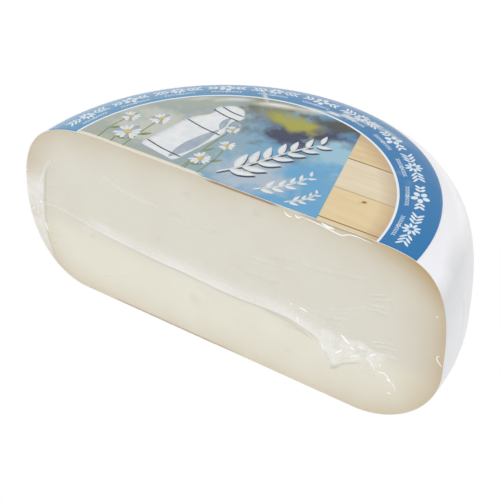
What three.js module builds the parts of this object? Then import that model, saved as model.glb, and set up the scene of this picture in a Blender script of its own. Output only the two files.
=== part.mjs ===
import * as THREE from 'three';
import { mergeVertices } from 'three/addons/utils/BufferGeometryUtils.js';

// Half of a round goat cheese, cut straight through its middle and wrapped tight in clear film.
// A round paper label lies on its top, under the film, and was cut together with the cheese.
// Millimetres, +Z up. The half stands on its flat base, with its cut face towards -Y.
// The origin is at the height of the base, under the middle of the box round the whole part.

// The wheel
const WHEEL_RADIUS = 125;
const MIDDLE_HEIGHT = 101.2;
const HALF_DEPTH = 123.3;
const CUT_EDGE_RADIUS = 1;
const DEPTH_RATIO = (HALF_DEPTH - CUT_EDGE_RADIUS) / WHEEL_RADIUS;

// The wheel is uneven, so each of its measures changes from one end of the cut to the other.
const TOP_HEIGHT = { right: 102.4, left: 100 };
const WIDEST_HEIGHT = { right: 43.6, left: 48.9 };
const TOP_FLAT_RADIUS = { right: 79.6, left: 61.8 };
const BASE_FLAT_RADIUS = { right: 77.7, left: 87.9 };

// The powers of the superellipses that round the rind above and below its widest line. At 2 the
// section is an ellipse, and a higher power is squarer.
const SHOULDER_POWER = { right: 3.5, left: 2.86 };
const HEEL_POWER = { right: 1.78, left: 2.06 };

// The label
const LABEL_RADIUS = 105.5;
const LABEL_THICKNESS = 0.6;
const LABEL_GAP = 0.4;

// The long fold of the film across the cut face, as places across and up the face. It runs level
// from the left end, drops where the film is bunched, and fades out near the right end.
const FOLD_RISE = 1.8;
const FOLD_LINE = [
  [-WHEEL_RADIUS, 48],
  [-102, 46],
  [-68, 42.8],
  [0, 42.4],
  [46, 41],
  [58, 34],
  [68, 25],
  [84, 27],
  [104, 28],
  [WHEEL_RADIUS, 43],
];
const FOLD_START = -116;
const FOLD_END = 104;
const FOLD_FADE = 16;
const FOLD_BULGE_LEFT = 4;
const FOLD_BULGE_RIGHT = 9;
const FOLD_DROP = 1.6;

// The bunched film at the right end of the long fold
const BUNCH_CENTRE = [77, 35];
const BUNCH_HALF_WIDTH = 21;
const BUNCH_HALF_HEIGHT = 15;
const BUNCH_RISE = 1.4;
const BUNCH_WAVE_LENGTH = 13;

// The pleat where the film is gathered round the left end of the cut
const PLEAT_LINE = [
  [-126, 84],
  [-108, 74],
  [-112.5, 60],
  [-114, 38],
  [-112, 18],
  [-104, 6],
  [-88, 0],
];
const PLEAT_RISE = 1;
const PLEAT_SOFTNESS = 1.8;
const RELIEF_MARGIN = 3;

// How finely the surfaces are divided
const AROUND_STEPS = 48;
const BASE_RINGS = 3;
const HEEL_STEPS = 9;
const SHOULDER_STEPS = 13;
const TOP_RINGS = 4;
const CUT_COLUMNS = 90;
const ROWS_UNDER_FOLD = 10;
const ROWS_OVER_FOLD = 13;
const ROW_CROWDING = 1.6;
const CUT_EDGE_STEPS = 3;
const LABEL_AROUND_STEPS = 40;
const LABEL_FLAT_RINGS = 3;
const LABEL_CURVED_RINGS = 7;

const QUARTER_TURN = Math.PI / 2;
const { lerp, smoothstep } = THREE.MathUtils;

// A closed surface, gathered from rows of points that are joined by strips of triangles. Each row
// runs from left to right as seen from outside, and the row above it comes second.
class Skin {
  corners = [];

  triangle(a, b, c) {
    if (a.distanceTo(b) > 1e-6 && b.distanceTo(c) > 1e-6 && c.distanceTo(a) > 1e-6) {
      this.corners.push(...a.toArray(), ...b.toArray(), ...c.toArray());
    }
  }

  // Joins two rows, which may have different numbers of points.
  strip(lower, upper) {
    const lowerShares = shares(lower);
    const upperShares = shares(upper);
    let i = 0;
    let j = 0;
    while (i < lower.length - 1 || j < upper.length - 1) {
      const lowerNext = i < lower.length - 1 ? lowerShares[i + 1] : Infinity;
      const upperNext = j < upper.length - 1 ? upperShares[j + 1] : Infinity;
      if (lowerNext <= upperNext) {
        this.triangle(lower[i], lower[i + 1], upper[j]);
        i += 1;
      } else {
        this.triangle(lower[i], upper[j + 1], upper[j]);
        j += 1;
      }
    }
  }

  // Joins rows of equal length, point to point.
  grid(rows) {
    for (let k = 0; k < rows.length - 1; k += 1) {
      for (let i = 0; i < rows[k].length - 1; i += 1) {
        this.triangle(rows[k][i], rows[k][i + 1], rows[k + 1][i + 1]);
        this.triangle(rows[k][i], rows[k + 1][i + 1], rows[k + 1][i]);
      }
    }
  }

  geometry() {
    const loose = new THREE.BufferGeometry();
    loose.setAttribute('position', new THREE.Float32BufferAttribute(this.corners, 3));
    const closed = mergeVertices(loose, 1e-4);
    closed.computeVertexNormals();
    return closed;
  }
}

// How far along a row each of its points lies, from 0 to 1.
function shares(row) {
  const lengths = [0];
  for (let i = 1; i < row.length; i += 1) {
    lengths.push(lengths[i - 1] + row[i].distanceTo(row[i - 1]));
  }
  return lengths.map((length) => length / lengths[row.length - 1]);
}

// The wheel's measures at an angle round it: 0 is the right end of the cut, half a turn the left.
function measuresAt(turn) {
  const rightness = (1 + Math.cos(turn)) / 2;
  const blend = (measure) => lerp(measure.left, measure.right, rightness);
  return {
    topHeight: blend(TOP_HEIGHT),
    widestHeight: blend(WIDEST_HEIGHT),
    topFlat: blend(TOP_FLAT_RADIUS),
    baseFlat: blend(BASE_FLAT_RADIUS),
    shoulderPower: blend(SHOULDER_POWER),
    heelPower: blend(HEEL_POWER),
  };
}

// The height of the upper side at a distance from the wheel's axis.
function upperHeight(measures, reach) {
  if (reach <= measures.topFlat) {
    return lerp(MIDDLE_HEIGHT, measures.topHeight, reach / measures.topFlat);
  }
  const across = Math.min((reach - measures.topFlat) / (WHEEL_RADIUS - measures.topFlat), 1);
  const rise = (1 - across ** measures.shoulderPower) ** (1 / measures.shoulderPower);
  return lerp(measures.widestHeight, measures.topHeight, rise);
}

// The height of the under side at a distance from the wheel's axis.
function lowerHeight(measures, reach) {
  if (reach <= measures.baseFlat) {
    return 0;
  }
  const across = Math.min((reach - measures.baseFlat) / (WHEEL_RADIUS - measures.baseFlat), 1);
  const drop = (1 - across ** measures.heelPower) ** (1 / measures.heelPower);
  return measures.widestHeight * (1 - drop);
}

// A point on the wheel, from its angle, its distance from the axis and its height.
function wheelPoint(turn, reach, height) {
  const depth = CUT_EDGE_RADIUS + DEPTH_RATIO * reach * Math.sin(turn);
  return new THREE.Vector3(reach * Math.cos(turn), depth, height);
}

// The wheel's section at an angle, from the middle of the base round the rind to the middle of
// the top.
function section(turn) {
  const measures = measuresAt(turn);
  const { topHeight, widestHeight, topFlat, baseFlat, shoulderPower, heelPower } = measures;
  const points = [];
  for (let i = 0; i < BASE_RINGS; i += 1) {
    points.push(wheelPoint(turn, baseFlat * (i / BASE_RINGS), 0));
  }
  for (let i = 0; i < HEEL_STEPS; i += 1) {
    const lean = QUARTER_TURN * (i / HEEL_STEPS);
    const reach = lerp(baseFlat, WHEEL_RADIUS, Math.sin(lean) ** (2 / heelPower));
    points.push(wheelPoint(turn, reach, widestHeight * (1 - Math.cos(lean) ** (2 / heelPower))));
  }
  for (let i = 0; i < SHOULDER_STEPS; i += 1) {
    const lean = QUARTER_TURN * (i / SHOULDER_STEPS);
    const reach = lerp(topFlat, WHEEL_RADIUS, Math.cos(lean) ** (2 / shoulderPower));
    const rise = Math.sin(lean) ** (2 / shoulderPower);
    points.push(wheelPoint(turn, reach, lerp(widestHeight, topHeight, rise)));
  }
  for (let i = 0; i <= TOP_RINGS; i += 1) {
    const reach = topFlat * (1 - i / TOP_RINGS);
    points.push(wheelPoint(turn, reach, upperHeight(measures, reach)));
  }
  return points;
}

// The outline of the cut as one closed row of many points, from the left end along the base to
// the right end and back along the top, with the places across the face that its columns take.
function cutOutline() {
  const rightEnd = measuresAt(0);
  const leftEnd = measuresAt(Math.PI);
  const across = [];
  for (let i = 0; i <= CUT_COLUMNS; i += 1) {
    across.push(-WHEEL_RADIUS * Math.cos(Math.PI * (i / CUT_COLUMNS)));
  }
  const place = (heightAt, x) => {
    const height = heightAt(x < 0 ? leftEnd : rightEnd, Math.abs(x));
    return new THREE.Vector3(x, CUT_EDGE_RADIUS, height);
  };
  const base = across.map((x) => place(lowerHeight, x));
  const top = across.map((x) => place(upperHeight, x)).reverse();
  return [...base.slice(0, -1), ...top];
}

// The closed outline, drawn in by a distance and moved to a depth.
function drawnIn(outline, inset, depth) {
  const last = outline.length - 1;
  return outline.map((point, i) => {
    const before = outline[i === 0 ? last - 1 : i - 1];
    const after = outline[i === last ? 1 : i + 1];
    const along = after.clone().sub(before).normalize();
    return new THREE.Vector3(point.x - along.z * inset, depth, point.z + along.x * inset);
  });
}

function curveThrough(places) {
  return new THREE.CatmullRomCurve3(places.map(([x, z]) => new THREE.Vector3(x, 0, z)));
}

const foldCurve = curveThrough(FOLD_LINE).getSpacedPoints(160);
const pleatCurve = curveThrough(PLEAT_LINE).getSpacedPoints(80);

// The fold's height at a place across the face.
function foldHeight(x) {
  const next = foldCurve.findIndex((point) => point.x > x);
  if (next < 1) {
    return foldCurve.at(next).z;
  }
  const [before, after] = [foldCurve[next - 1], foldCurve[next]];
  return lerp(before.z, after.z, (x - before.x) / (after.x - before.x));
}

// The long fold bulges gently on its upper side and drops off sharply on its lower side.
function foldRelief(x, z) {
  const present = smoothstep(x, FOLD_START, FOLD_START + FOLD_FADE)
    * (1 - smoothstep(x, FOLD_END - FOLD_FADE, FOLD_END));
  const growth = smoothstep(x, FOLD_START, BUNCH_CENTRE[0]);
  const bulge = lerp(FOLD_BULGE_LEFT, FOLD_BULGE_RIGHT, growth);
  const above = z - foldHeight(x);
  const shape = above >= 0
    ? 1 - smoothstep(above, 0, bulge)
    : 1 - smoothstep(-above, 0, FOLD_DROP);
  return FOLD_RISE * lerp(0.5, 1, growth) * present * shape;
}

// The bunched film is a patch of short creases that cross.
function bunchRelief(x, z) {
  const across = (x - BUNCH_CENTRE[0]) / BUNCH_HALF_WIDTH;
  const up = (z - BUNCH_CENTRE[1]) / BUNCH_HALF_HEIGHT;
  const patch = 1 - smoothstep(Math.hypot(across, up), 0.3, 1);
  const wave = (2 * Math.PI) / BUNCH_WAVE_LENGTH;
  const creases = Math.sin(wave * (x + 1.7 * z)) * Math.cos(wave * (1.3 * x - z));
  return BUNCH_RISE * patch * (0.5 + 0.5 * creases);
}

// The pleat stands up between the line where it ends and the left end of the cut.
function pleatRelief(x, z) {
  const nearest = pleatCurve.reduce((best, point) => (
    Math.hypot(point.x - x, point.z - z) < Math.hypot(best.x - x, best.z - z) ? point : best
  ));
  const outside = smoothstep(nearest.x - x, -PLEAT_SOFTNESS, PLEAT_SOFTNESS);
  return PLEAT_RISE * outside;
}

// How far the film stands out of the cut face, with nothing left of it at the outline.
function filmRelief(x, z, lowest, highest) {
  const margin = Math.min(z - lowest, highest - z);
  const relief = Math.max(foldRelief(x, z), bunchRelief(x, z), pleatRelief(x, z));
  return Math.min(relief, FOLD_RISE) * smoothstep(margin, 0, RELIEF_MARGIN);
}

// The cut face, as rows from its lower edge through the fold to its upper edge.
function cutFaceRows(edge) {
  const base = edge.slice(0, CUT_COLUMNS + 1);
  const top = edge.slice(CUT_COLUMNS).reverse();
  const row = (heightOf) => base.map((low, i) => {
    const high = top[i];
    const fold = THREE.MathUtils.clamp(foldHeight(low.x), low.z, high.z);
    const height = heightOf(low.z, fold, high.z);
    const share = high.z > low.z ? (height - low.z) / (high.z - low.z) : 0;
    const x = lerp(low.x, high.x, share);
    return new THREE.Vector3(x, -filmRelief(x, height, low.z, high.z), height);
  });
  const rows = [base];
  for (let k = 1; k <= ROWS_UNDER_FOLD; k += 1) {
    const share = 1 - (1 - k / ROWS_UNDER_FOLD) ** ROW_CROWDING;
    rows.push(row((low, fold) => lerp(low, fold, share)));
  }
  for (let k = 1; k < ROWS_OVER_FOLD; k += 1) {
    const share = (k / ROWS_OVER_FOLD) ** ROW_CROWDING;
    rows.push(row((low, fold, high) => lerp(fold, high, share)));
  }
  rows.push(top);
  return rows;
}

// The half wheel in its film, as one closed solid.
function halfWheelGeometry() {
  const skin = new Skin();
  const sections = [];
  for (let i = 0; i <= AROUND_STEPS; i += 1) {
    sections.push(section(Math.PI * (i / AROUND_STEPS)));
  }
  skin.grid(sections.map((points) => points.toReversed()));

  const rightSide = sections[0];
  const leftSide = sections[AROUND_STEPS];
  const widest = BASE_RINGS + HEEL_STEPS;
  const rim = [
    ...leftSide.slice(0, widest + 1).reverse(),
    ...rightSide.slice(1),
    ...leftSide.slice(widest, -1).reverse(),
  ];
  const outline = cutOutline();
  const edges = [];
  for (let i = 1; i <= CUT_EDGE_STEPS; i += 1) {
    const lean = QUARTER_TURN * (i / CUT_EDGE_STEPS);
    const inset = CUT_EDGE_RADIUS * (1 - Math.cos(lean));
    edges.push(drawnIn(outline, inset, CUT_EDGE_RADIUS * (1 - Math.sin(lean))));
  }
  skin.strip(rim, edges[0]);
  skin.grid(edges);
  skin.grid(cutFaceRows(edges.at(-1)));
  return skin.geometry();
}

// The reach of the label's round edge at an angle, in the wheel's own distances from the axis.
function labelReach(turn) {
  return LABEL_RADIUS / Math.hypot(Math.cos(turn), DEPTH_RATIO * Math.sin(turn));
}

// One line of the label from the wheel's axis outwards, at a height above the cheese.
function labelLine(turn, lift) {
  const measures = measuresAt(turn);
  const reaches = [];
  for (let i = 0; i < LABEL_FLAT_RINGS; i += 1) {
    reaches.push(measures.topFlat * (i / LABEL_FLAT_RINGS));
  }
  for (let i = 0; i <= LABEL_CURVED_RINGS; i += 1) {
    reaches.push(lerp(measures.topFlat, labelReach(turn), i / LABEL_CURVED_RINGS));
  }
  return reaches.map((reach) => {
    const step = 0.5;
    const slope = reach > measures.topFlat
      ? (upperHeight(measures, reach + step) - upperHeight(measures, reach - step)) / (2 * step)
      : 0;
    const length = Math.hypot(1, slope);
    const height = upperHeight(measures, reach) + lift / length;
    return wheelPoint(turn, reach - (slope * lift) / length, height);
  });
}

// The label, a half disc of paper that follows the top of the wheel.
function labelGeometry() {
  const skin = new Skin();
  const faces = [LABEL_GAP, LABEL_GAP + LABEL_THICKNESS].map((lift) => {
    const lines = [];
    for (let i = 0; i <= LABEL_AROUND_STEPS; i += 1) {
      lines.push(labelLine(Math.PI * (i / LABEL_AROUND_STEPS), lift));
    }
    return lines;
  });
  const [under, over] = faces;
  skin.grid(over);
  skin.grid(under.map((line) => line.toReversed()));
  skin.grid([under[0], over[0]]);
  skin.grid([under.at(-1).toReversed(), over.at(-1).toReversed()]);
  skin.grid([under.map((line) => line.at(-1)), over.map((line) => line.at(-1))]);
  return skin.geometry();
}

function piece(name, geometry, finish) {
  const mesh = new THREE.Mesh(geometry, new THREE.MeshStandardMaterial(finish));
  mesh.name = name;
  return mesh;
}

const cheese = new THREE.Group();
cheese.add(piece('wrapped_half_wheel', halfWheelGeometry(), {
  color: 0xdfdccb,
  roughness: 0.3,
  metalness: 0,
}));
cheese.add(piece('label', labelGeometry(), {
  color: 0x3d7bae,
  roughness: 0.35,
  metalness: 0,
}));
cheese.position.y = -(HALF_DEPTH - FOLD_RISE) / 2;

export default cheese;
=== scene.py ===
"""The looks of half a round goat cheese in tight clear film, with a printed label on its top.

Everything is in metres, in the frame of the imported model: +X along the cut, -Y out of the cut
face, +Z up from the flat base. The lines of creases, pinches and prints are in millimetres.
"""

from __future__ import annotations

import logging
import math
from dataclasses import dataclass, field, fields
from enum import Enum
from typing import Callable, Iterable, Sequence

import bmesh
import bpy
import numpy as np
from mathutils import Matrix, Vector

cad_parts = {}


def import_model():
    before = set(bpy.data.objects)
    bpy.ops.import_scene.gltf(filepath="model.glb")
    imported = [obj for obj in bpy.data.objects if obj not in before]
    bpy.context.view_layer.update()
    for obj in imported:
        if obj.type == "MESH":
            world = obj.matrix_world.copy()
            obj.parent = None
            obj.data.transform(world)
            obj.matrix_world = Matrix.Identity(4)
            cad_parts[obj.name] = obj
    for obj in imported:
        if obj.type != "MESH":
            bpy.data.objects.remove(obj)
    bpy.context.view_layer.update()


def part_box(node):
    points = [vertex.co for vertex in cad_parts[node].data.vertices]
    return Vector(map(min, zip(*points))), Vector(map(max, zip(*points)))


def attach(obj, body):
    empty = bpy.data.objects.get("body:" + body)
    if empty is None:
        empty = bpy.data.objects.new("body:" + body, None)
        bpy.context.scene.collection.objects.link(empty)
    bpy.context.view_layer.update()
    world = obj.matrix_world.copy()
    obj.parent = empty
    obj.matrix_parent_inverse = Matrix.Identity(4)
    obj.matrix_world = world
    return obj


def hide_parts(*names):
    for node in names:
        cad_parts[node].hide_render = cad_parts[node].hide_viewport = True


LOG = logging.getLogger("goat_cheese")
MM = 0.001
BODY = "root"
WHEEL_NODE = "wrapped_half_wheel"
LABEL_NODE = "label"

Colour = tuple[float, float, float, float]
Place = tuple[float, float]
Places = tuple[Place, ...]
Array = np.ndarray
Socket = bpy.types.NodeSocket
Look = tuple[Array, dict[str, Array]]

WHITE: Colour = (1.0, 1.0, 1.0, 1.0)
MERGE_DISTANCE = 2e-6

LONG_FOLD: Places = (
    (-112.2, 46.2), (-101.7, 46.5), (-91.5, 45.4), (-81.5, 43.7), (-72.8, 42.7), (-60.3, 41.5),
    (-48.6, 40.6), (-35.7, 40), (-23.1, 39.8), (-10.6, 39.2), (1.6, 38.5), (13.7, 38.4),
    (26.7, 39.4), (40.1, 39.6), (48.7, 37.9), (55.6, 36), (60.2, 33.6), (62.4, 31),
    (64.5, 27.8), (66.9, 24.5), (68.7, 21.6),
)
"""The crisp lower edge of the film's long fold across the cut, with the bunch's edge at its end."""

FACE_GUIDE: Places = (
    *LONG_FOLD[:16], (63, 35.6), (72, 36.2), (83, 37.8), (96, 40), (110, 42.2),
)
"""The line across the cut that the rows of its surfaces follow."""


def srgb(red: int, green: int, blue: int) -> Colour:
    """Turns a screen colour of 0 to 255 into the linear, opaque colour that shaders use."""
    parts = []
    for part in (red, green, blue):
        share = part / 255
        parts.append(share / 12.92 if share <= 0.04045 else ((share + 0.055) / 1.055) ** 2.4)
    return (parts[0], parts[1], parts[2], 1.0)


def blend(low: Array | float, high: Array | float, share: Array) -> Array:
    """Goes from one value to another as share goes from 0 to 1."""
    return low + (high - low) * share


def ease(value: Array, low: float | Array, high: float | Array) -> Array:
    """A smooth step from 0 at low to 1 at high."""
    share = np.clip((value - low) / (high - low), 0.0, 1.0)
    return share * share * (3.0 - 2.0 * share)


def unit(vectors: Array) -> Array:
    """The vectors with a length of 1."""
    return vectors / np.maximum(np.linalg.norm(vectors, axis=-1, keepdims=True), 1e-12)


def lengths_along(line: Array) -> Array:
    """How far along a line each of its points lies."""
    steps = np.linalg.norm(np.diff(line, axis=0), axis=1)
    return np.concatenate([[0.0], np.cumsum(steps)])


def evenly(line: Array, count: int) -> Array:
    """The same line with its points evenly spaced.

    Args:
        line: The line's points, in any number of dimensions.
        count: How many points to give.

    Returns:
        The evenly spaced points.
    """
    along = lengths_along(line)
    wanted = np.linspace(0.0, along[-1], count)
    return np.stack([np.interp(wanted, along, axis) for axis in line.T], axis=-1)


def spline(places: Sequence[Place], count: int) -> Array:
    """Evenly spaced points on a smooth curve through a few places.

    Args:
        places: The places, at least two.
        count: How many points to give.

    Returns:
        The points, count by 2.
    """
    knots = np.array(places, float)
    padded = np.vstack([2 * knots[0] - knots[1], knots, 2 * knots[-1] - knots[-2]])
    points_each = 12
    share = np.linspace(0.0, 1.0, points_each, endpoint=False)[:, None]
    pieces = []
    for before, start, end, after in zip(padded, padded[1:], padded[2:], padded[3:]):
        linear = 2 * start + (end - before) * share
        square = (2 * before - 5 * start + 4 * end - after) * share**2
        cube = (3 * start - before - 3 * end + after) * share**3
        pieces.append((linear + square + cube) / 2)
    return evenly(np.vstack([*pieces, knots[-1:]]), count)


def ribbon(spine: Array, half_widths: Array, columns: int) -> Array:
    """A grid of places along a flat line, from its left side to its right.

    Args:
        spine: The line's points.
        half_widths: Half the ribbon's width at each point.
        columns: How many places across.

    Returns:
        The places, points by columns by 2.
    """
    along = unit(np.gradient(spine, axis=0))
    aside = np.stack([along[:, 1], -along[:, 0]], axis=-1) * half_widths[:, None]
    share = np.linspace(-1.0, 1.0, columns)[None, :, None]
    return spine[:, None, :] + aside[:, None, :] * share


@dataclass(frozen=True)
class EndMeasure:
    """A measure of the uneven wheel, which changes from the right end of the cut to the left."""

    right: float
    left: float

    def at(self, turn: Array) -> Array:
        """The measure at an angle round the wheel, 0 at the right end of the cut."""
        return blend(self.left, self.right, (1.0 + np.cos(turn)) / 2.0)


@dataclass(frozen=True)
class SectionSteps:
    """How finely the wheel's section is divided."""

    base: int
    heel: int
    shoulder: int
    top: int

    @property
    def widest(self) -> int:
        """The number of the section's point on the widest line."""
        return self.base + self.heel


@dataclass
class WheelForm:
    """The shape of the half wheel, which the cheese, the label and the film all follow."""

    radius: float
    depth: float
    cut_y: float
    middle_height: float = 101.2 * MM
    top_height: EndMeasure = EndMeasure(102.4 * MM, 100.0 * MM)
    widest_height: EndMeasure = EndMeasure(43.6 * MM, 48.9 * MM)
    top_flat: EndMeasure = EndMeasure(79.6 * MM, 61.8 * MM)
    base_flat: EndMeasure = EndMeasure(81.0 * MM, 87.9 * MM)
    shoulder_power: EndMeasure = EndMeasure(3.5, 2.86)
    heel_power: EndMeasure = EndMeasure(1.9, 2.06)

    @classmethod
    def from_frame(cls, fold_rise: float) -> WheelForm:
        """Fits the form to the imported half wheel.

        Args:
            fold_rise: How far the film's folds stand out of the cut face.

        Returns:
            The form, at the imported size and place.
        """
        low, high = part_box(WHEEL_NODE)
        cut_y = low.y + fold_rise
        return cls(radius=(high.x - low.x) / 2, depth=high.y - cut_y, cut_y=cut_y)

    def upper_height(self, turn: Array, reach: Array) -> Array:
        """The height of the upper side.

        Args:
            turn: Angles round the wheel.
            reach: Distances from its axis.

        Returns:
            The heights there.
        """
        flat, top = self.top_flat.at(turn), self.top_height.at(turn)
        widest, power = self.widest_height.at(turn), self.shoulder_power.at(turn)
        level = blend(self.middle_height, top, np.minimum(reach / flat, 1.0))
        across = np.clip((reach - flat) / (self.radius - flat), 0.0, 1.0)
        curved = blend(widest, top, (1.0 - across**power) ** (1.0 / power))
        return np.where(reach <= flat, level, curved)

    def section(self, turn: Array, steps: SectionSteps) -> tuple[Array, Array]:
        """The wheel's section from the middle of the base round the rind to the middle of the top.

        Args:
            turn: Angles round the wheel, in a column.
            steps: How finely the section is divided.

        Returns:
            The distances from the axis and the heights, one row for each angle.
        """
        widest, top = self.widest_height.at(turn), self.top_height.at(turn)
        base_flat, top_flat = self.base_flat.at(turn), self.top_flat.at(turn)
        heel, shoulder = 2.0 / self.heel_power.at(turn), 2.0 / self.shoulder_power.at(turn)
        outward = np.linspace(0.0, 1.0, steps.base, endpoint=False)[None, :]
        inward = np.linspace(1.0, 0.0, steps.top + 1)[None, :]
        quarter = math.pi / 2
        lean = np.linspace(0.0, quarter, steps.heel, endpoint=False)[None, :]
        rise = np.linspace(0.0, quarter, steps.shoulder, endpoint=False)[None, :]
        reaches = [
            base_flat * outward,
            blend(base_flat, self.radius, np.sin(lean) ** heel),
            blend(top_flat, self.radius, np.cos(rise) ** shoulder),
            top_flat * inward,
        ]
        heights = [
            0.0 * base_flat * outward,
            widest * (1.0 - np.cos(lean) ** heel),
            blend(widest, top, np.sin(rise) ** shoulder),
            blend(self.middle_height, top, inward),
        ]
        return np.concatenate(reaches, axis=1), np.concatenate(heights, axis=1)

    def points(
        self, turn: Array, reach: Array, height: Array, start: float
    ) -> Array:
        """Turns angles, distances and heights into points in the frame.

        Args:
            turn: Angles round the wheel.
            reach: Distances from the axis.
            height: Heights.
            start: How far behind the cut plane the surface starts.

        Returns:
            The points.
        """
        across = reach * np.cos(turn)
        deep = start + (self.depth - start) * (reach / self.radius) * np.sin(turn)
        return np.stack([across, self.cut_y + deep, height + 0.0 * across], axis=-1)

    def lay(self, across: Array, deep: Array, lift: float) -> Array:
        """Lays places seen from above onto the upper side.

        Args:
            across: Places along X.
            deep: Distances behind the cut.
            lift: How far from the surface they lie.

        Returns:
            The points.
        """
        straight = np.maximum(deep, 0.0) * self.radius / self.depth
        turn, reach = np.arctan2(straight, across), np.hypot(across, straight)
        probe = 0.5 * MM
        height = self.upper_height(turn, reach)
        slope = (self.upper_height(turn, reach + probe) - height) / probe
        return np.stack([across, self.cut_y + deep, height + lift * np.hypot(1.0, slope)], axis=-1)


class Skin:
    """Rows of points joined into one mesh, with attributes on the points."""

    def __init__(self) -> None:
        """Starts with no points."""
        self.blocks: list[Array] = []
        self.faces: list[tuple[int, ...]] = []
        self.slots: list[int] = []
        self.values: dict[str, list[Array]] = {}
        self.count = 0

    def grid(self, points: Array, slot: int = 0, **values: Array | float) -> Array:
        """Adds a grid of points, each row joined to the next.

        Args:
            points: Rows by columns by 3. The row direction crossed with the way to the next row
                points outwards.
            slot: The material slot of the faces.
            values: An attribute's name and its value at each point.

        Returns:
            The numbers of the points, rows by columns.
        """
        rows, columns = points.shape[:2]
        index = np.arange(self.count, self.count + rows * columns).reshape(rows, columns)
        self.blocks.append(points.reshape(-1, 3))
        self.count += rows * columns
        for name, value in values.items():
            spread = np.broadcast_to(value, (rows, columns)).ravel()
            self.values.setdefault(name, []).append(spread)
        corners = [index[:-1, :-1], index[:-1, 1:], index[1:, 1:], index[1:, :-1]]
        quads = np.stack(corners, axis=-1).reshape(-1, 4)
        self.faces.extend(map(tuple, quads.tolist()))
        self.slots.extend([slot] * len(quads))
        return index

    def slab(self, under: Array, over: Array, slot: int = 0) -> None:
        """Adds a thin closed sheet.

        Args:
            under: Its lower grid of points.
            over: Its upper grid, whose rows and columns match.
            slot: The material slot of the faces.
        """
        self.grid(over, slot)
        self.grid(under[:, ::-1], slot)
        edges = (
            (under[0], over[0]),
            (under[-1, ::-1], over[-1, ::-1]),
            (under[:, -1], over[:, -1]),
            (under[::-1, 0], over[::-1, 0]),
        )
        for edge in edges:
            self.grid(np.stack(edge), slot)

    def strip(self, lower: Array, upper: Array, slot: int = 0) -> None:
        """Joins two rows of points that are already there, of unequal number.

        Args:
            lower: The numbers of the first row's points.
            upper: The numbers of the second row's points.
            slot: The material slot of the faces.
        """
        points = np.concatenate(self.blocks)
        shares = []
        for row in (lower, upper):
            along = lengths_along(points[row])
            shares.append(np.append(along / along[-1], math.inf))
        i = j = 0
        while i < len(lower) - 1 or j < len(upper) - 1:
            if shares[0][i + 1] <= shares[1][j + 1]:
                self.faces.append((int(lower[i]), int(lower[i + 1]), int(upper[j])))
                i += 1
            else:
                self.faces.append((int(lower[i]), int(upper[j + 1]), int(upper[j])))
                j += 1
            self.slots.append(slot)

    def build(self, name: str) -> bpy.types.Object:
        """Makes the object, with doubled points merged.

        Args:
            name: The object's name.

        Returns:
            The object, linked to the scene.
        """
        mesh = bpy.data.meshes.new(name)
        mesh.from_pydata(np.concatenate(self.blocks).tolist(), [], self.faces)
        for label, parts in self.values.items():
            attribute = mesh.attributes.new(label, "FLOAT", "POINT")
            attribute.data.foreach_set("value", np.concatenate(parts).astype(np.float32))
        mesh.polygons.foreach_set("material_index", self.slots)
        work = bmesh.new()
        work.from_mesh(mesh)
        bmesh.ops.remove_doubles(work, verts=work.verts, dist=MERGE_DISTANCE)
        for face in work.faces:
            face.smooth = True
        work.to_mesh(mesh)
        work.free()
        return link_object(name, mesh)


def link_object(name: str, mesh: bpy.types.Mesh) -> bpy.types.Object:
    """Puts a mesh in the scene as an object at the origin."""
    piece = bpy.data.objects.new(name, mesh)
    bpy.context.scene.collection.objects.link(piece)
    return piece


def finish_piece(
    piece: bpy.types.Object,
    materials: Sequence[bpy.types.Material] = (),
    stands_for: str | None = None,
) -> None:
    """Dresses a finished piece and puts it on the body.

    Args:
        piece: The piece, in place.
        materials: Its materials, in the order of its slots, where it has none yet.
        stands_for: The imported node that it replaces, if any.
    """
    for material in materials:
        piece.data.materials.append(material)
    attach(piece, BODY)
    if stands_for is not None:
        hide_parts(stands_for)
    LOG.info("%s: %d faces", piece.name, len(piece.data.polygons))


def nearest(line: Array, spots: Array) -> tuple[Array, Array]:
    """Finds the place on a line that is nearest to each of some spots.

    Args:
        line: The line's points.
        spots: The spots, in a list.

    Returns:
        The distances from the line, negative to its right, and how far along it the places are.
    """
    best = np.full(len(spots), np.inf)
    side, share = np.ones(len(spots)), np.zeros(len(spots))
    for k, (start, end) in enumerate(zip(line, line[1:])):
        span = end - start
        part = np.clip(((spots - start) @ span) / (span @ span), 0.0, 1.0)
        gap = spots - (start + part[:, None] * span)
        distance = np.hypot(gap[:, 0], gap[:, 1])
        nearer = distance < best
        best[nearer] = distance[nearer]
        side[nearer] = np.where(span[0] * gap[:, 1] < span[1] * gap[:, 0], -1.0, 1.0)[nearer]
        share[nearer] = (k + part[nearer]) / (len(line) - 1)
    return best * side, share


def close_by(line: Array, reach: float, first: Array, second: Array) -> Array:
    """Says which places lie in a line's box.

    Args:
        line: The line's points.
        reach: How far the box reaches beyond them.
        first: The places' first coordinates.
        second: Their second coordinates.

    Returns:
        Whether each place lies in it.
    """
    low, high = line.min(axis=0) - reach, line.max(axis=0) + reach
    return (first > low[0]) & (first < high[0]) & (second > low[1]) & (second < high[1])


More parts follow.
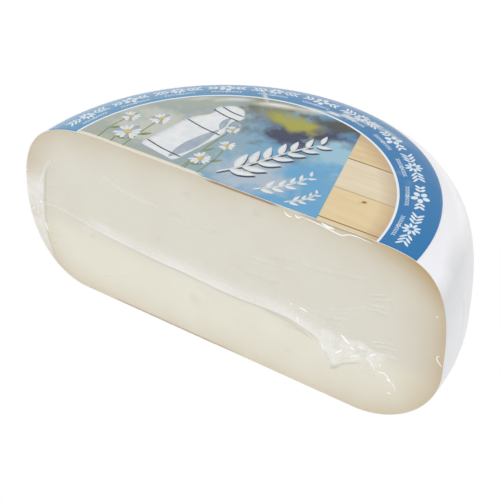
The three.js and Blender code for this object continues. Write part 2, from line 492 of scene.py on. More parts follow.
@dataclass(frozen=True)
class Crease:
    """A line along which the film is pinched up, in millimetres.

    Its places are two coordinates on the surface it lies on. rise is the height of its crest, left
    and right say how far it spreads on each side of its direction, the milk share how white the
    film is there, partly the doubled film's own whiteness and partly a painted highlight along its
    lit crest, shade how dark the cheese looks just under it as a painted shadow, and fade_in and
    fade_out over what share of its length its ends die away.
    """

    places: Places
    rise: float
    left: float
    right: float
    milk: float = 0.0
    shade: float = 0.0
    fade_in: float = 0.2
    fade_out: float = 0.2

    def field(self, first: Array, second: Array) -> tuple[Array, Array]:
        """How far the crease lifts the film at each place, and how milky it is there, painted highlight
        included.

        Args:
            first: The places' first coordinates.
            second: Their second coordinates.

        Returns:
            The lift, and the milkiness with its painted highlight.
        """
        line = spline(self.places, 12 * len(self.places))
        lift, milk = np.zeros_like(first), np.zeros_like(first)
        near = close_by(line, 1.3 * max(self.left, self.right), first, second)
        away, share = nearest(line, np.stack([first[near], second[near]], axis=-1))
        strength = ease(share, 0.0, self.fade_in) * (1.0 - ease(share, 1.0 - self.fade_out, 1.0))
        spread = np.where(away >= 0.0, self.left, -self.right)
        lift[near] = self.rise * strength * (1.0 - ease(away / spread, 0.0, 1.0))
        milk[near] = self.milk * strength * (1.0 - ease(away / spread, 0.2, 1.2))
        return lift, milk

    def shadow(self) -> Crease:
        """The painted shadow of the crease: a soft dark line on the cheese under its lower side."""
        drop, above, below = 0.8, 0.7, 1.4
        places = tuple((first, second - drop) for first, second in self.places)
        # The shadow's strength rides in the milk share of the new crease and paints shade, not milk.
        return Crease(places, 0.0, above, below, self.shade, 0.0, self.fade_in, self.fade_out)


@dataclass(frozen=True)
class Crumple:
    """A patch of film bunched into flat facets that meet in sharp creases, in millimetres.

    Its outline runs anticlockwise. Each facet is given by the way it faces, its width and where it
    starts.
    """

    outline: Places
    rise: float
    milk: float
    edge: float
    facets: tuple[tuple[float, float, float], ...]

    def field(self, first: Array, second: Array) -> tuple[Array, Array]:
        """How far the patch lifts the film at each place, and how milky it is there, painted highlight
        included.

        Args:
            first: The places' first coordinates.
            second: Their second coordinates.

        Returns:
            The lift, and the milkiness with its painted highlight.
        """
        loop = spline((*self.outline, self.outline[0]), 8 * len(self.outline))
        near = close_by(loop, 0.0, first, second)
        patch = np.zeros_like(first)
        away = nearest(loop, np.stack([first[near], second[near]], axis=-1))[0]
        patch[near] = ease(away, 0.0, self.edge)
        folds = np.zeros_like(first)
        for angle, width, start in self.facets:
            way = (first * math.cos(angle) + second * math.sin(angle)) / width + start
            folds += np.abs(2.0 * (way - np.floor(way)) - 1.0) * width
        folds /= sum(width for _, width, _ in self.facets)
        return self.rise * patch * folds, self.milk * patch * np.clip(1.6 * folds - 0.1, 0.15, 1.0)


def combine(
    forms: Iterable[Crease | Crumple], first: Array, second: Array
) -> tuple[Array, Array]:
    """Lays creases and crumples over one another.

    Args:
        forms: The creases and crumples.
        first: The places' first coordinates, in metres.
        second: Their second coordinates, in metres.

    Returns:
        The lift of the film in metres, and how milky it is, painted highlight included; for the shadow
        creases, the strength of their painted shadow.
    """
    lift, clear = np.zeros_like(first), np.ones_like(first)
    for form in forms:
        rise, milk = form.field(first / MM, second / MM)
        lift += rise * MM
        clear *= 1.0 - milk
    return lift, 1.0 - clear


class NodeBench:
    """Adds nodes to one tree and wires them together."""

    MIX_LOW, MIX_HIGH, MIX_RESULT = 6, 7, 2
    """The numbers of the Mix node's sockets for colours."""

    def __init__(self, tree: bpy.types.NodeTree) -> None:
        """Takes the tree to work on."""
        self.tree = tree

    def add(self, kind: str, inputs: dict | None = None, **settings) -> bpy.types.Node:
        """Adds one node.

        Args:
            kind: The node's type.
            inputs: For each input's name or number, a value or the socket that feeds it.
            settings: The node's own settings.

        Returns:
            The node.
        """
        node = self.tree.nodes.new(kind)
        for name, value in settings.items():
            setattr(node, name, value)
        for name, value in (inputs or {}).items():
            if isinstance(value, Socket):
                self.tree.links.new(value, node.inputs[name])
            else:
                node.inputs[name].default_value = value
        return node

    def out(self, kind: str, inputs: dict | None = None, **settings) -> Socket:
        """Adds one node and gives its first result."""
        return self.add(kind, inputs, **settings).outputs[0]

    def math(self, operation: str, *values) -> Socket:
        """Adds a Math node and gives its result."""
        inputs = dict(enumerate(values))
        return self.out("ShaderNodeMath", inputs, operation=operation)

    def vector(self, *values) -> Socket:
        """Joins three values into a vector."""
        return self.out("ShaderNodeCombineXYZ", dict(enumerate(values)))

    def vector_math(self, operation: str, first: Socket, second: Socket) -> Socket:
        """Adds a Vector Math node and gives its result."""
        return self.out("ShaderNodeVectorMath", {0: first, 1: second}, operation=operation)

    def split(self, vector: Socket) -> bpy.types.bpy_prop_collection:
        """Takes a vector apart into X, Y and Z."""
        return self.add("ShaderNodeSeparateXYZ", {0: vector}).outputs

    def mix(self, share, low, high) -> Socket:
        """Mixes two colours and gives the result."""
        inputs = {0: share, self.MIX_LOW: low, self.MIX_HIGH: high}
        node = self.add("ShaderNodeMix", inputs, data_type="RGBA", clamp_factor=True)
        return node.outputs[self.MIX_RESULT]

    def mix_shader(self, share, low: bpy.types.Node, high: bpy.types.Node) -> bpy.types.Node:
        """Mixes two shaders."""
        layers = {0: share, 1: low.outputs[0], 2: high.outputs[0]}
        return self.add("ShaderNodeMixShader", layers)

    def step(self, value, low: float, high: float) -> Socket:
        """A step from 0 at low to 1 at high."""
        inputs = {"Value": value, "From Min": low, "From Max": high}
        return self.out("ShaderNodeMapRange", inputs, clamp=True)

    def attribute(self, name: str) -> Socket:
        """Reads one of the piece's own attributes."""
        node = self.add("ShaderNodeAttribute", attribute_name=name, attribute_type="GEOMETRY")
        return node.outputs["Fac"]

    def bump(self, height, strength: float, distance: float) -> Socket:
        """Turns a height mask into a normal."""
        inputs = {"Height": height, "Strength": strength, "Distance": distance}
        return self.out("ShaderNodeBump", inputs)

    def place(self) -> bpy.types.bpy_prop_collection:
        """The X, Y and Z of each place on the piece, in the frame."""
        return self.split(self.add("ShaderNodeTexCoord").outputs["Object"])

    def mottle(self, size: float, **inputs) -> Socket:
        """Places the shared group of soft blotches.

        Args:
            size: The size of the blotches, in metres.
            inputs: Other inputs of the group, by name.

        Returns:
            The mask, about 0.5 on average.
        """
        place = self.add("ShaderNodeTexCoord").outputs["Object"]
        values = {"Size": size, "Vector": place, **inputs}
        return self.add("ShaderNodeGroup", values, node_tree=mottle_group()).outputs["Mask"]

    def finish(self, shader: bpy.types.Node) -> None:
        """Sends a shader to the material's surface."""
        self.add("ShaderNodeOutputMaterial", {"Surface": shader.outputs[0]})

    def plain_surface(self, inputs: dict) -> None:
        """Makes the material's surface one Principled shader."""
        self.finish(self.add("ShaderNodeBsdfPrincipled", inputs))

    def printed_surface(self, colour: Socket, roughness: float, gloss: float) -> None:
        """Makes the material's surface a print of the given colour."""
        inputs = {"Base Color": colour, "Roughness": roughness, "Specular IOR Level": gloss}
        self.plain_surface(inputs)


def mottle_group() -> bpy.types.NodeTree:
    """Builds the shared shader group of soft uneven blotches once, and gives it.

    Returns:
        The group, with a Mask output.
    """
    name = "soft_mottle"
    found = bpy.data.node_groups.get(name)
    if found is not None:
        return found
    group = bpy.data.node_groups.new(name, "ShaderNodeTree")
    sockets = group.interface
    sockets.new_socket("Vector", in_out="INPUT", socket_type="NodeSocketVector")
    for label, value in (("Size", 0.01), ("Detail", 3.0), ("Roughness", 0.5), ("Contrast", 1.0)):
        socket = sockets.new_socket(label, in_out="INPUT", socket_type="NodeSocketFloat")
        socket.default_value = value
    stretch = sockets.new_socket("Stretch", in_out="INPUT", socket_type="NodeSocketVector")
    stretch.default_value = (1.0, 1.0, 1.0)
    sockets.new_socket("Mask", in_out="OUTPUT", socket_type="NodeSocketFloat")
    bench = NodeBench(group)
    given = bench.add("NodeGroupInput").outputs
    noise_inputs = {
        "Vector": bench.vector_math("MULTIPLY", given["Vector"], given["Stretch"]),
        "Scale": bench.math("DIVIDE", 1.0, given["Size"]),
        "Detail": given["Detail"],
        "Roughness": given["Roughness"],
    }
    noise = bench.out("ShaderNodeTexNoise", noise_inputs)
    centred = bench.math("MULTIPLY", bench.math("SUBTRACT", noise, 0.5), given["Contrast"])
    bench.add("NodeGroupOutput", {"Mask": bench.math("ADD", centred, 0.5)})
    return group


def new_material(name: str) -> tuple[bpy.types.Material, NodeBench]:
    """Makes an empty node material, and a bench on its tree."""
    material = bpy.data.materials.new(name)
    material.use_nodes = True
    material.node_tree.nodes.clear()
    return material, NodeBench(material.node_tree)


@dataclass(frozen=True)
class PasteFinish:
    """The cut cheese: ivory in the middle, riper and more beige towards the rind."""

    heart: Colour = srgb(214, 211, 198)
    low_heart: Colour = srgb(223, 220, 205)
    fold_height: float = 38 * MM
    fold_softness: float = 5 * MM
    ripe: Colour = srgb(178, 151, 101)
    line: Colour = srgb(150, 112, 62)
    shade: Colour = srgb(168, 164, 144)
    roughness: float = 0.45
    mottle_size: float = 28 * MM
    mottle_strength: float = 0.16
    grain_size: float = 1.4 * MM
    grain_depth: float = 0.2 * MM
    grain_strength: float = 0.12
    glow: float = 0.1
    glow_reach: float = 3 * MM
    glow_tint: tuple[float, float, float] = (1.0, 0.85, 0.6)

    def material(self) -> bpy.types.Material:
        """Builds the material."""
        material, bench = new_material("cut_paste")
        cloud = bench.mottle(self.mottle_size, Detail=2.0, Contrast=1.6)
        grain = bench.mottle(self.grain_size, Detail=2.0, Contrast=1.2)
        drift = bench.math("SUBTRACT", cloud, 0.5)
        ripeness = bench.attribute("ripeness")
        uneven = bench.math("MULTIPLY_ADD", drift, self.mottle_strength, ripeness)
        above, below = self.fold_height + self.fold_softness, self.fold_height - self.fold_softness
        under = bench.step(bench.place()["Z"], above, below)
        body = bench.mix(uneven, bench.mix(under, self.heart, self.low_heart), self.ripe)
        # Painted shade: painted shadows under the film's creases and painted shade in the dents darken
        # the paste.
        shaded = bench.mix(bench.attribute("shade"), body, self.shade)
        # A thin brown line along parts of the cut's top and bottom edges: partly the rind's brown edge,
        # partly painted shade under the label's edge and along the base.
        lined = bench.mix(bench.attribute("rind_line"), shaded, self.line)
        inputs = {
            "Base Color": lined,
            "Roughness": self.roughness,
            "Subsurface Weight": self.glow,
            "Subsurface Radius": self.glow_tint,
            "Subsurface Scale": self.glow_reach,
            "Normal": bench.bump(grain, self.grain_strength, self.grain_depth),
        }
        bench.plain_surface(inputs)
        return material


@dataclass(frozen=True)
class RindFinish:
    """The smooth white coat of the wheel, painted lighter towards the top and darker lower down as
    painted light and shade.
    """

    upper_coat: Colour = srgb(247, 247, 251)
    lower_coat: Colour = srgb(215, 216, 219)
    lower_height: float = 84 * MM
    upper_height: float = 94 * MM
    drift: float = 12 * MM
    roughness: float = 0.4
    mottle_size: float = 45 * MM
    weave_size: float = 2.2 * MM
    weave_depth: float = 0.25 * MM
    weave_strength: float = 0.2

    def material(self) -> bpy.types.Material:
        """Builds the material."""
        material, bench = new_material("white_rind")
        cloud = bench.mottle(self.mottle_size, Detail=3.0, Contrast=2.2)
        skin = bench.mottle(self.weave_size, Detail=3.0, Roughness=0.6)
        drift = bench.math("SUBTRACT", cloud, 0.5)
        # Painted light and shade: the coat turns from a darker lower tone to a lighter upper one at a
        # blotchy height.
        uneven = bench.math("MULTIPLY_ADD", drift, self.drift, bench.place()["Z"])
        share = bench.step(uneven, self.lower_height, self.upper_height)
        inputs = {
            "Base Color": bench.mix(share, self.lower_coat, self.upper_coat),
            "Roughness": self.roughness,
            "Normal": bench.bump(skin, self.weave_strength, self.weave_depth),
        }
        bench.plain_surface(inputs)
        return material


@dataclass(frozen=True)
class FilmFinish:
    """Thin clear film, glossy all over and milky where it is doubled or bunched, with painted highlights
    along its creases and on its pinched ridges.
    """

    name: str
    base_milk: float = 0.0
    milk: Colour = srgb(230, 229, 226)
    gloss_roughness: float = 0.1
    refraction: float = 1.36
    most_gloss: float = 0.24
    milk_roughness: float = 0.3
    milk_gloss: float = 0.25
    patch_size: float = 9 * MM
    streak_size: float = 6 * MM
    streak_depth: float = 0.5 * MM
    streak_strength: float = 0.3

    def material(self) -> bpy.types.Material:
        """Builds the material."""
        material, bench = new_material(self.name)
        streaks = bench.mottle(self.streak_size, Roughness=0.55, Stretch=(0.22, 1.0, 1.6))
        bump = bench.bump(streaks, self.streak_strength, self.streak_depth)
        clear = bench.add("ShaderNodeBsdfTransparent", {"Color": WHITE})
        shine = {"Color": WHITE, "Roughness": self.gloss_roughness, "Normal": bump}
        gloss = bench.add("ShaderNodeBsdfGlossy", shine)
        inside = bench.add("ShaderNodeNewGeometry").outputs["Backfacing"]
        change = 1.0 / self.refraction - self.refraction
        index = bench.math("MULTIPLY_ADD", inside, change, self.refraction)
        mirror = bench.add("ShaderNodeFresnel", {"IOR": index, "Normal": bump})
        mirrored = bench.math("MINIMUM", mirror.outputs[0], self.most_gloss)
        sheer = bench.mix_shader(mirrored, clear, gloss)
        doubled = {
            "Base Color": self.milk,
            "Roughness": self.milk_roughness,
            "Specular IOR Level": self.milk_gloss,
            "Normal": bump,
        }
        # The milky layer: the doubled film's own whiteness, and painted highlights along lit creases.
        cloudy = bench.add("ShaderNodeBsdfPrincipled", doubled)
        patchy = bench.mottle(self.patch_size, Detail=3.0, Contrast=1.5, Stretch=(0.5, 1.0, 1.2))
        uneven = bench.math("MULTIPLY", bench.attribute("milk"), bench.math("ADD", patchy, 0.5))
        seen = bench.add("ShaderNodeLightPath").outputs["Is Camera Ray"]
        share = bench.math("MULTIPLY", bench.math("ADD", uneven, self.base_milk), seen)
        bench.finish(bench.mix_shader(share, sheer, cloudy))
        return material


@dataclass(frozen=True)
class InkFinish:
    """A printing ink with a soft, painterly unevenness."""

    name: str
    colour: Colour
    accent: Colour
    mottle_size: float = 5 * MM
    roughness: float = 0.35
    gloss: float = 0.12

    def material(self) -> bpy.types.Material:
        """Builds the material."""
        material, bench = new_material(f"ink_{self.name}")
        cloud = bench.mottle(self.mottle_size, Detail=3.0, Contrast=2.4)
        colour = bench.mix(cloud, self.colour, self.accent)
        bench.printed_surface(colour, self.roughness, self.gloss)
        return material


@dataclass(frozen=True)
class Blob:
    """A soft patch of colour in the label's picture, in millimetres from the label's middle."""

    colour: Colour
    across: float
    deep: float
    half_width: float
    half_depth: float


@dataclass(frozen=True)
class PaperFinish:
    """Printed paper: a blue band, painted lighter towards its far end as a painted sheen of the film, a
    white ring line and a soft picture inside it.
    """

    centre_y: float
    band: Colour = srgb(20, 118, 178)
    band_far: Colour = srgb(72, 147, 192)
    ring: Colour = srgb(240, 246, 252)
    meadow: Colour = srgb(166, 174, 162)
    sky: Colour = srgb(98, 166, 208)
    wood_pale: Colour = srgb(236, 224, 196)
    wood_warm: Colour = srgb(236, 214, 168)
    wood_grain: Colour = srgb(214, 186, 138)
    wood_line: Colour = srgb(120, 84, 52)
    wood_rim: Colour = srgb(176, 140, 104)
    slant: float = 0.268
    wood_start: float = 54.4 * MM
    ring_radius: float = 86.0 * MM
    ring_shift: float = 3.2 * MM
    ring_width: float = 1.15 * MM
    plank_start: float = 2.4 * MM
    plank_width: float = 24.8 * MM
    plank_grain: float = 2.6 * MM
    gap_outside: float = 0.5 * MM
    gap_inside: float = 0.2 * MM
    faint_gap: float = 0.45
    rim_width: float = 9 * MM
    rim_strength: float = 0.55
    bluing_start: float = -45 * MM
    bluing_end: float = 20 * MM
    near_start: float = 60 * MM
    far_end: float = -90 * MM
    print_edge: float = 0.12 * MM
    mottle_size: float = 13 * MM
    bluing_drift: float = 0.6
    blob_drift: float = 1.5
    blob_outside: float = 1.2
    blob_inside: float = 0.55
    roughness: float = 0.35
    gloss: float = 0.12
    lip: Colour = srgb(234, 226, 204)
    lip_depth: float = 1.7 * MM
    lip_start: float = -86 * MM
    lip_end: float = -8 * MM
    lip_edge: float = 0.4 * MM
    lip_start_fade: float = 2 * MM
    lip_end_fade: float = 5 * MM
    blobs: tuple[Blob, ...] = (
        Blob(srgb(142, 148, 118), -20, 80, 34, 12),
        Blob(srgb(196, 200, 190), -58, 26, 20, 20),
        Blob(srgb(44, 50, 84), 14, 58, 34, 19),
        Blob(srgb(154, 196, 214), 34, 50, 16, 14),
        Blob(srgb(168, 164, 60), 2, 66, 17, 8),
        Blob(srgb(60, 66, 62), 24, 76, 26, 6),
        Blob(srgb(176, 192, 206), 10, 14, 22, 14),
    )

    def blob(self, bench: NodeBench, blob: Blob, across, deep, drift) -> Socket:
        """The mask of one soft patch.

        Args:
            bench: The material's bench.
            blob: The patch.
            across: Places along X.
            deep: Distances behind the label's middle.
            drift: A noise that roughens the patch's outline.

        Returns:
            The mask.
        """
        right = bench.math("SUBTRACT", across, blob.across * MM)
        right = bench.math("DIVIDE", right, blob.half_width * MM)
        up = bench.math("SUBTRACT", deep, blob.deep * MM)
        up = bench.math("DIVIDE", up, blob.half_depth * MM)
        square = bench.math("MULTIPLY_ADD", right, right, bench.math("MULTIPLY", up, up))
        distance = bench.math("SQRT", square)
        ragged = bench.math("MULTIPLY_ADD", drift, self.blob_drift, distance)
        return bench.step(ragged, self.blob_outside, self.blob_inside)

    def planks(self, bench: NodeBench, deep, radius) -> Socket:
        """The pale boards of the picture, with grain along them and a dark line between them.

        Args:
            bench: The material's bench.
            deep: Distances behind the label's middle.
            radius: Distances from the ring line's middle.

        Returns:
            The boards' colour.
        """
        shifted = bench.math("SUBTRACT", deep, self.plank_start)
        width = self.plank_width
        second = bench.step(shifted, 0.99 * width, 1.01 * width)
        third = bench.step(shifted, 1.99 * width, 2.01 * width)
        pale = bench.math("SUBTRACT", second, third)
        board = bench.mix(pale, self.wood_warm, self.wood_pale)
        along = (0.12, 1.0, 1.0)
        grain = bench.mottle(self.plank_grain, Detail=4.0, Contrast=1.6, Stretch=along)
        share = bench.math("MULTIPLY", grain, bench.math("MULTIPLY_ADD", third, 0.5, 0.5))
        grained = bench.mix(share, board, self.wood_grain)
        away = bench.math("PINGPONG", bench.math("ADD", shifted, 4.0 * width), width)
        strong = bench.step(away, self.gap_outside, self.gap_inside)
        other = bench.step(bench.math("SUBTRACT", width, away), self.gap_outside, self.gap_inside)
        faint = bench.math("MULTIPLY", other, self.faint_gap)
        lined = bench.mix(bench.math("ADD", strong, faint), grained, self.wood_line)
        rim = bench.step(radius, self.ring_radius - self.rim_width, self.ring_radius)
        return bench.mix(bench.math("MULTIPLY", rim, self.rim_strength), lined, self.wood_rim)

    def material(self) -> bpy.types.Material:
        """Builds the material."""
        material, bench = new_material("printed_paper")
        place = bench.place()
        across, deep = place["X"], bench.math("SUBTRACT", place["Y"], self.centre_y)
        cloud = bench.mottle(self.mottle_size, Detail=5.0, Roughness=0.6, Contrast=1.6)
        drift = bench.math("SUBTRACT", cloud, 0.5)
        blue_side = bench.step(across, self.bluing_start, self.bluing_end)
        bluing = bench.math("MULTIPLY_ADD", drift, self.bluing_drift, blue_side)
        picture = bench.mix(bluing, self.meadow, self.sky)
        for blob in self.blobs:
            mask = self.blob(bench, blob, across, deep, drift)
            picture = bench.mix(mask, picture, blob.colour)
        square = bench.math("MULTIPLY", across, across)
        behind = bench.math("ADD", deep, self.ring_shift)
        radius = bench.math("SQRT", bench.math("MULTIPLY_ADD", behind, behind, square))
        edge = self.print_edge
        slant = bench.math("MULTIPLY_ADD", deep, self.slant, across)
        on_wood = bench.step(slant, self.wood_start, self.wood_start + edge)
        picture = bench.mix(on_wood, picture, self.planks(bench, deep, radius))
        # Painted sheen: the band turns lighter towards its far left end.
        sheen_share = bench.step(across, self.near_start, self.far_end)
        band = bench.mix(sheen_share, self.band, self.band_far)
        inner = self.ring_radius - self.ring_width / 2
        outer = self.ring_radius + self.ring_width / 2
        ringed = bench.mix(bench.step(radius, inner, inner + edge), picture, self.ring)
        printed = bench.mix(bench.step(radius, outer, outer + edge), ringed, band)
        at_front = bench.step(deep, self.lip_depth, self.lip_depth - self.lip_edge)
        at_left = bench.step(across, self.lip_end, self.lip_end - self.lip_end_fade)
        inside = bench.step(across, self.lip_start, self.lip_start + self.lip_start_fade)
        on_lip = bench.math("MULTIPLY", bench.math("MULTIPLY", at_front, at_left), inside)
        colour = bench.mix(on_lip, printed, self.lip)
        bench.printed_surface(colour, self.roughness, self.gloss)
        return material


@dataclass
class Label:
    """The round paper label on the wheel's top, cut with the cheese."""

    form: WheelForm
    radius: float = 105.5 * MM
    low: float = 0.4 * MM
    thickness: float = 0.2 * MM
    start: float = 1.0 * MM
    band_shift: float = -1.2 * MM
    turns: int = 180
    rings: int = 70

    @property
    def face_level(self) -> float:
        """How far the printed face lies outside the form."""
        return self.low + self.thickness

    @property
    def band_centre_y(self) -> float:
        """Where the middle of the printed band lies along Y."""
        return self.form.cut_y + self.start + self.band_shift

    def reach(self, turn: Array) -> Array:
        """How far the round label reaches at an angle, in the form's distances from the axis."""
        squeeze = self.form.depth / self.form.radius
        return self.radius / np.hypot(np.cos(turn), squeeze * np.sin(turn))

    def face(self, lift: float) -> Array:
        """The label's outline filled with points, at a height above the cheese.

        Args:
            lift: The height.

        Returns:
            The points, one row for each angle, from the axis outwards.
        """
        turn = np.linspace(0.0, math.pi, self.turns + 1)[:, None]
        reach = self.reach(turn) * np.linspace(0.0, 1.0, self.rings + 1)[None, :]
        turn = np.broadcast_to(turn, reach.shape)
        flat = self.form.points(turn, reach, 0.0 * reach, self.start)
        return self.form.lay(flat[..., 0], flat[..., 1] - self.form.cut_y, lift)

    def build(self) -> bpy.types.Object:
        """Builds and dresses the label.

        Returns:
            The label's paper.
        """
        skin = Skin()
        skin.slab(self.face(self.low), self.face(self.face_level))
        paper = skin.build("label_paper")
        finish = PaperFinish(self.form.cut_y + self.start)
        finish_piece(paper, [finish.material()], LABEL_NODE)
        return paper


class Ink(Enum):
    """The inks of the label's picture, with the two tints of each."""

    WHITE = (srgb(238, 240, 238), srgb(222, 228, 232))
    SHADE = (srgb(150, 166, 184), srgb(176, 188, 198))
    DEEP = (srgb(40, 48, 82), srgb(66, 72, 90))
    LEAF = (srgb(112, 130, 60), srgb(150, 158, 84))
    YELLOW = (srgb(206, 176, 52), srgb(226, 204, 96))
    BROWN = (srgb(120, 60, 36), srgb(160, 100, 56))


class Taper(Enum):
    """How a printed stroke's width runs along it."""

    EVEN = ((0.0, 0.5), (0.04, 1.0), (0.96, 1.0), (1.0, 0.5))
    LEAF = ((0.0, 0.15), (0.2, 0.75), (0.42, 1.0), (0.7, 0.72), (0.9, 0.3), (1.0, 0.0))
    PETAL = ((0.0, 0.25), (0.4, 0.75), (0.75, 1.0), (0.93, 0.7), (1.0, 0.2))
    ROUND = (
        (0.0, 0.0), (0.08, 0.54), (0.25, 0.87), (0.5, 1.0), (0.75, 0.87), (0.92, 0.54), (1.0, 0.0),
    )
    CHURN = (
        (0.0, 0.86), (0.03, 0.98), (0.5, 1.0), (0.6, 0.95), (0.68, 0.76), (0.73, 0.58),
        (0.82, 0.56), (0.83, 0.72), (0.9, 0.72), (0.91, 0.6), (0.96, 0.5), (1.0, 0.2),
    )


@dataclass
class LabelPicture:
    """The picture inside the ring: a milk churn, daisies and leafy twigs, as printed shapes.

    Its places are in millimetres, across from the wheel's axis and behind the cut.
    """

    form: WheelForm
    level: float
    sheet: float = 0.02 * MM
    skin: Skin = field(default_factory=Skin)
    churn_foot: Place = (-40.6, 6.8)
    churn_top: Place = (-30.0, 64.0)
    churn_half_width: float = 12.5
    petals: int = 13
    point_step: float = 1.2
    shadow_shift: Place = (1.0, -1.1)
    daisies: tuple[tuple[float, float, float], ...] = (
        (-64, 14, 7), (-72, 27, 5), (-57.5, 33, 5.4), (-19, 13.5, 5.6),
        (-15, 30, 4.4), (-21, 44, 3.6),
    )

    def stroke(
        self, places: Places, half_width: float, ink: Ink, layer: int, taper: Taper = Taper.EVEN
    ) -> None:
        """Prints one stroke.

        Args:
            places: The stroke's line.
            half_width: Half its greatest width.
            ink: Its ink.
            layer: How many layers of ink lie under it.
            taper: How its width runs.
        """
        length = lengths_along(np.array(places))[-1]
        count = int(np.clip(length / self.point_step, 6, 40))
        knots = np.array(taper.value)
        widths = half_width * np.interp(np.linspace(0.0, 1.0, count), knots[:, 0], knots[:, 1])
        columns = 3 if half_width < 3.0 else 9
        flat = ribbon(spline(places, count), widths, columns) * MM
        low = self.level + (0.5 + 1.5 * layer) * self.sheet
        under = self.form.lay(flat[..., 0], flat[..., 1], low)
        over = self.form.lay(flat[..., 0], flat[..., 1], low + self.sheet)
        self.skin.slab(under, over, list(Ink).index(ink))

    def churn(self) -> None:
        """Prints the milk churn with its bands, handles and shaded side."""
        foot, top = np.array(self.churn_foot), np.array(self.churn_top)
        axis = top - foot
        right = unit(np.array([axis[1], -axis[0]])) * self.churn_half_width

        def spot(up: float, out: float) -> Place:
            """A place on the churn, up its axis and out to its side."""
            place = foot + axis * up + right * out
            return (float(place[0]), float(place[1]))

        self.stroke((spot(0.01, -1.3), spot(0.0, 1.2)), 1.5, Ink.SHADE, 0, Taper.LEAF)
        whole = tuple(spot(up, 0.0) for up in (0.0, 0.35, 0.7, 1.0))
        self.stroke(whole, self.churn_half_width, Ink.WHITE, 1, Taper.CHURN)
        shaded = tuple(spot(up, 0.6) for up in (0.02, 0.3, 0.62))
        self.stroke(shaded, 3.8, Ink.SHADE, 2, Taper.LEAF)
        neck = (spot(0.62, 0.62), spot(0.74, 0.34), spot(0.83, 0.3))
        self.stroke(neck, 2.0, Ink.SHADE, 2, Taper.LEAF)
        for up, width in ((0.08, 0.96), (0.55, 0.94), (0.825, 0.7), (0.91, 0.6)):
            hoop = (spot(up, -width), spot(up - 0.012, 0.0), spot(up, width))
            self.stroke(hoop, 0.4, Ink.DEEP, 3)
        bends = ((0.8, 0.58), (0.78, 1.0), (0.66, 1.16), (0.56, 0.98))
        for side in (-1.0, 1.0):
            handle = tuple(spot(up, out * side) for up, out in bends)
            self.stroke(handle, 0.9, Ink.SHADE, 0)

    def daisy(self, across: float, deep: float, radius: float) -> None:
        """Prints one daisy, with its stalk and a leaf.

        Args:
            across: Its place across.
            deep: Its place behind the cut.
            radius: Its size.
        """
        lean = 0.2 * math.sin(7.0 * across)
        stalk = ((across, deep), (across + 12 * lean, deep * 0.5 + 1.5), (across + 9 * lean, 2.0))
        self.stroke(stalk, 0.35, Ink.LEAF, 0)
        side = across + 9 * lean
        leaf = ((side, deep * 0.4 + 1.5), (side + radius, deep * 0.5 + 3.0))
        self.stroke(leaf, 0.22 * radius, Ink.LEAF, 0, Taper.LEAF)
        for k in range(self.petals):
            turn = 2 * math.pi * (k + lean) / self.petals
            reach = radius * (1.0 + 0.08 * math.sin(5.0 * k + across))
            way = np.array([math.cos(turn), math.sin(turn)])
            start, end = way * 0.22 * radius, way * reach
            spots = ((across + start[0], deep + start[1]), (across + end[0], deep + end[1]))
            ink = Ink.SHADE if k % 4 == 3 else Ink.WHITE
            self.stroke(spots, 0.19 * radius, ink, 1 + k % 2, Taper.PETAL)
        heart = ((across - 0.27 * radius, deep), (across + 0.27 * radius, deep))
        self.stroke(heart, 0.27 * radius, Ink.YELLOW, 3, Taper.ROUND)

    def twig(self, places: Places, leaves: int, leaf_length: float, shadow: bool) -> None:
        """Prints a white leafy twig, with a dark shadow under it.

        Args:
            places: The twig's line.
            leaves: How many leaves it has on each side.
            leaf_length: The length of its lowest leaves.
            shadow: Whether it has a shadow.
        """
        passes = [(Ink.WHITE, np.zeros(2), 1)]
        if shadow:
            passes.insert(0, (Ink.DEEP, np.array(self.shadow_shift), 0))
        line = spline(places, 40)
        for ink, offset, layer in passes:
            self.stroke(tuple(map(tuple, line[::8] + offset)), 0.55, ink, layer)
            for k in range(2 * leaves):
                at = int(4 + 34 * k / (2 * leaves))
                along = unit(line[at + 1] - line[at - 1])
                lean = 0.85 if k % 2 else -0.85
                cos, sin = math.cos(lean), math.sin(lean)
                way = np.array([along[0] * cos - along[1] * sin, along[0] * sin + along[1] * cos])
                length = leaf_length * (1.0 - 0.45 * k / (2 * leaves))
                curl = 0.12 * length * along
                start = line[at] + offset
                leaf = (start, start + way * 0.5 * length, start + way * length + curl)
                self.stroke(tuple(map(tuple, leaf)), 0.2 * length, ink, layer, Taper.LEAF)

    def knot(self, across: float, deep: float) -> None:
        """Prints a knot in the boards."""
        halo = ((across - 2.6, deep - 1.2), (across + 1.2, deep - 0.9))
        self.stroke(halo, 0.5, Ink.YELLOW, 0, Taper.LEAF)
        core = ((across - 1.3, deep), (across + 1.3, deep + 0.2))
        self.stroke(core, 0.8, Ink.BROWN, 1, Taper.ROUND)

    def build(self) -> None:
        """Builds and dresses the picture."""
        self.churn()
        for across, deep, radius in self.daisies:
            self.daisy(across, deep, radius)
        self.twig(((-6.0, 8.0), (4.0, 22.0), (13.0, 40.0), (27.0, 62.0)), 7, 13.0, True)
        self.twig(((17.0, 5.0), (29.0, 17.0), (36.0, 33.0)), 5, 7.5, False)
        self.twig(((35.0, 4.0), (42.0, 11.0), (45.0, 21.0)), 4, 5.5, False)
        self.knot(66.0, 24.0)
        picture = self.skin.build("label_picture")
        inks = [InkFinish(ink.name.lower(), *ink.value).material() for ink in Ink]
        finish_piece(picture, inks)


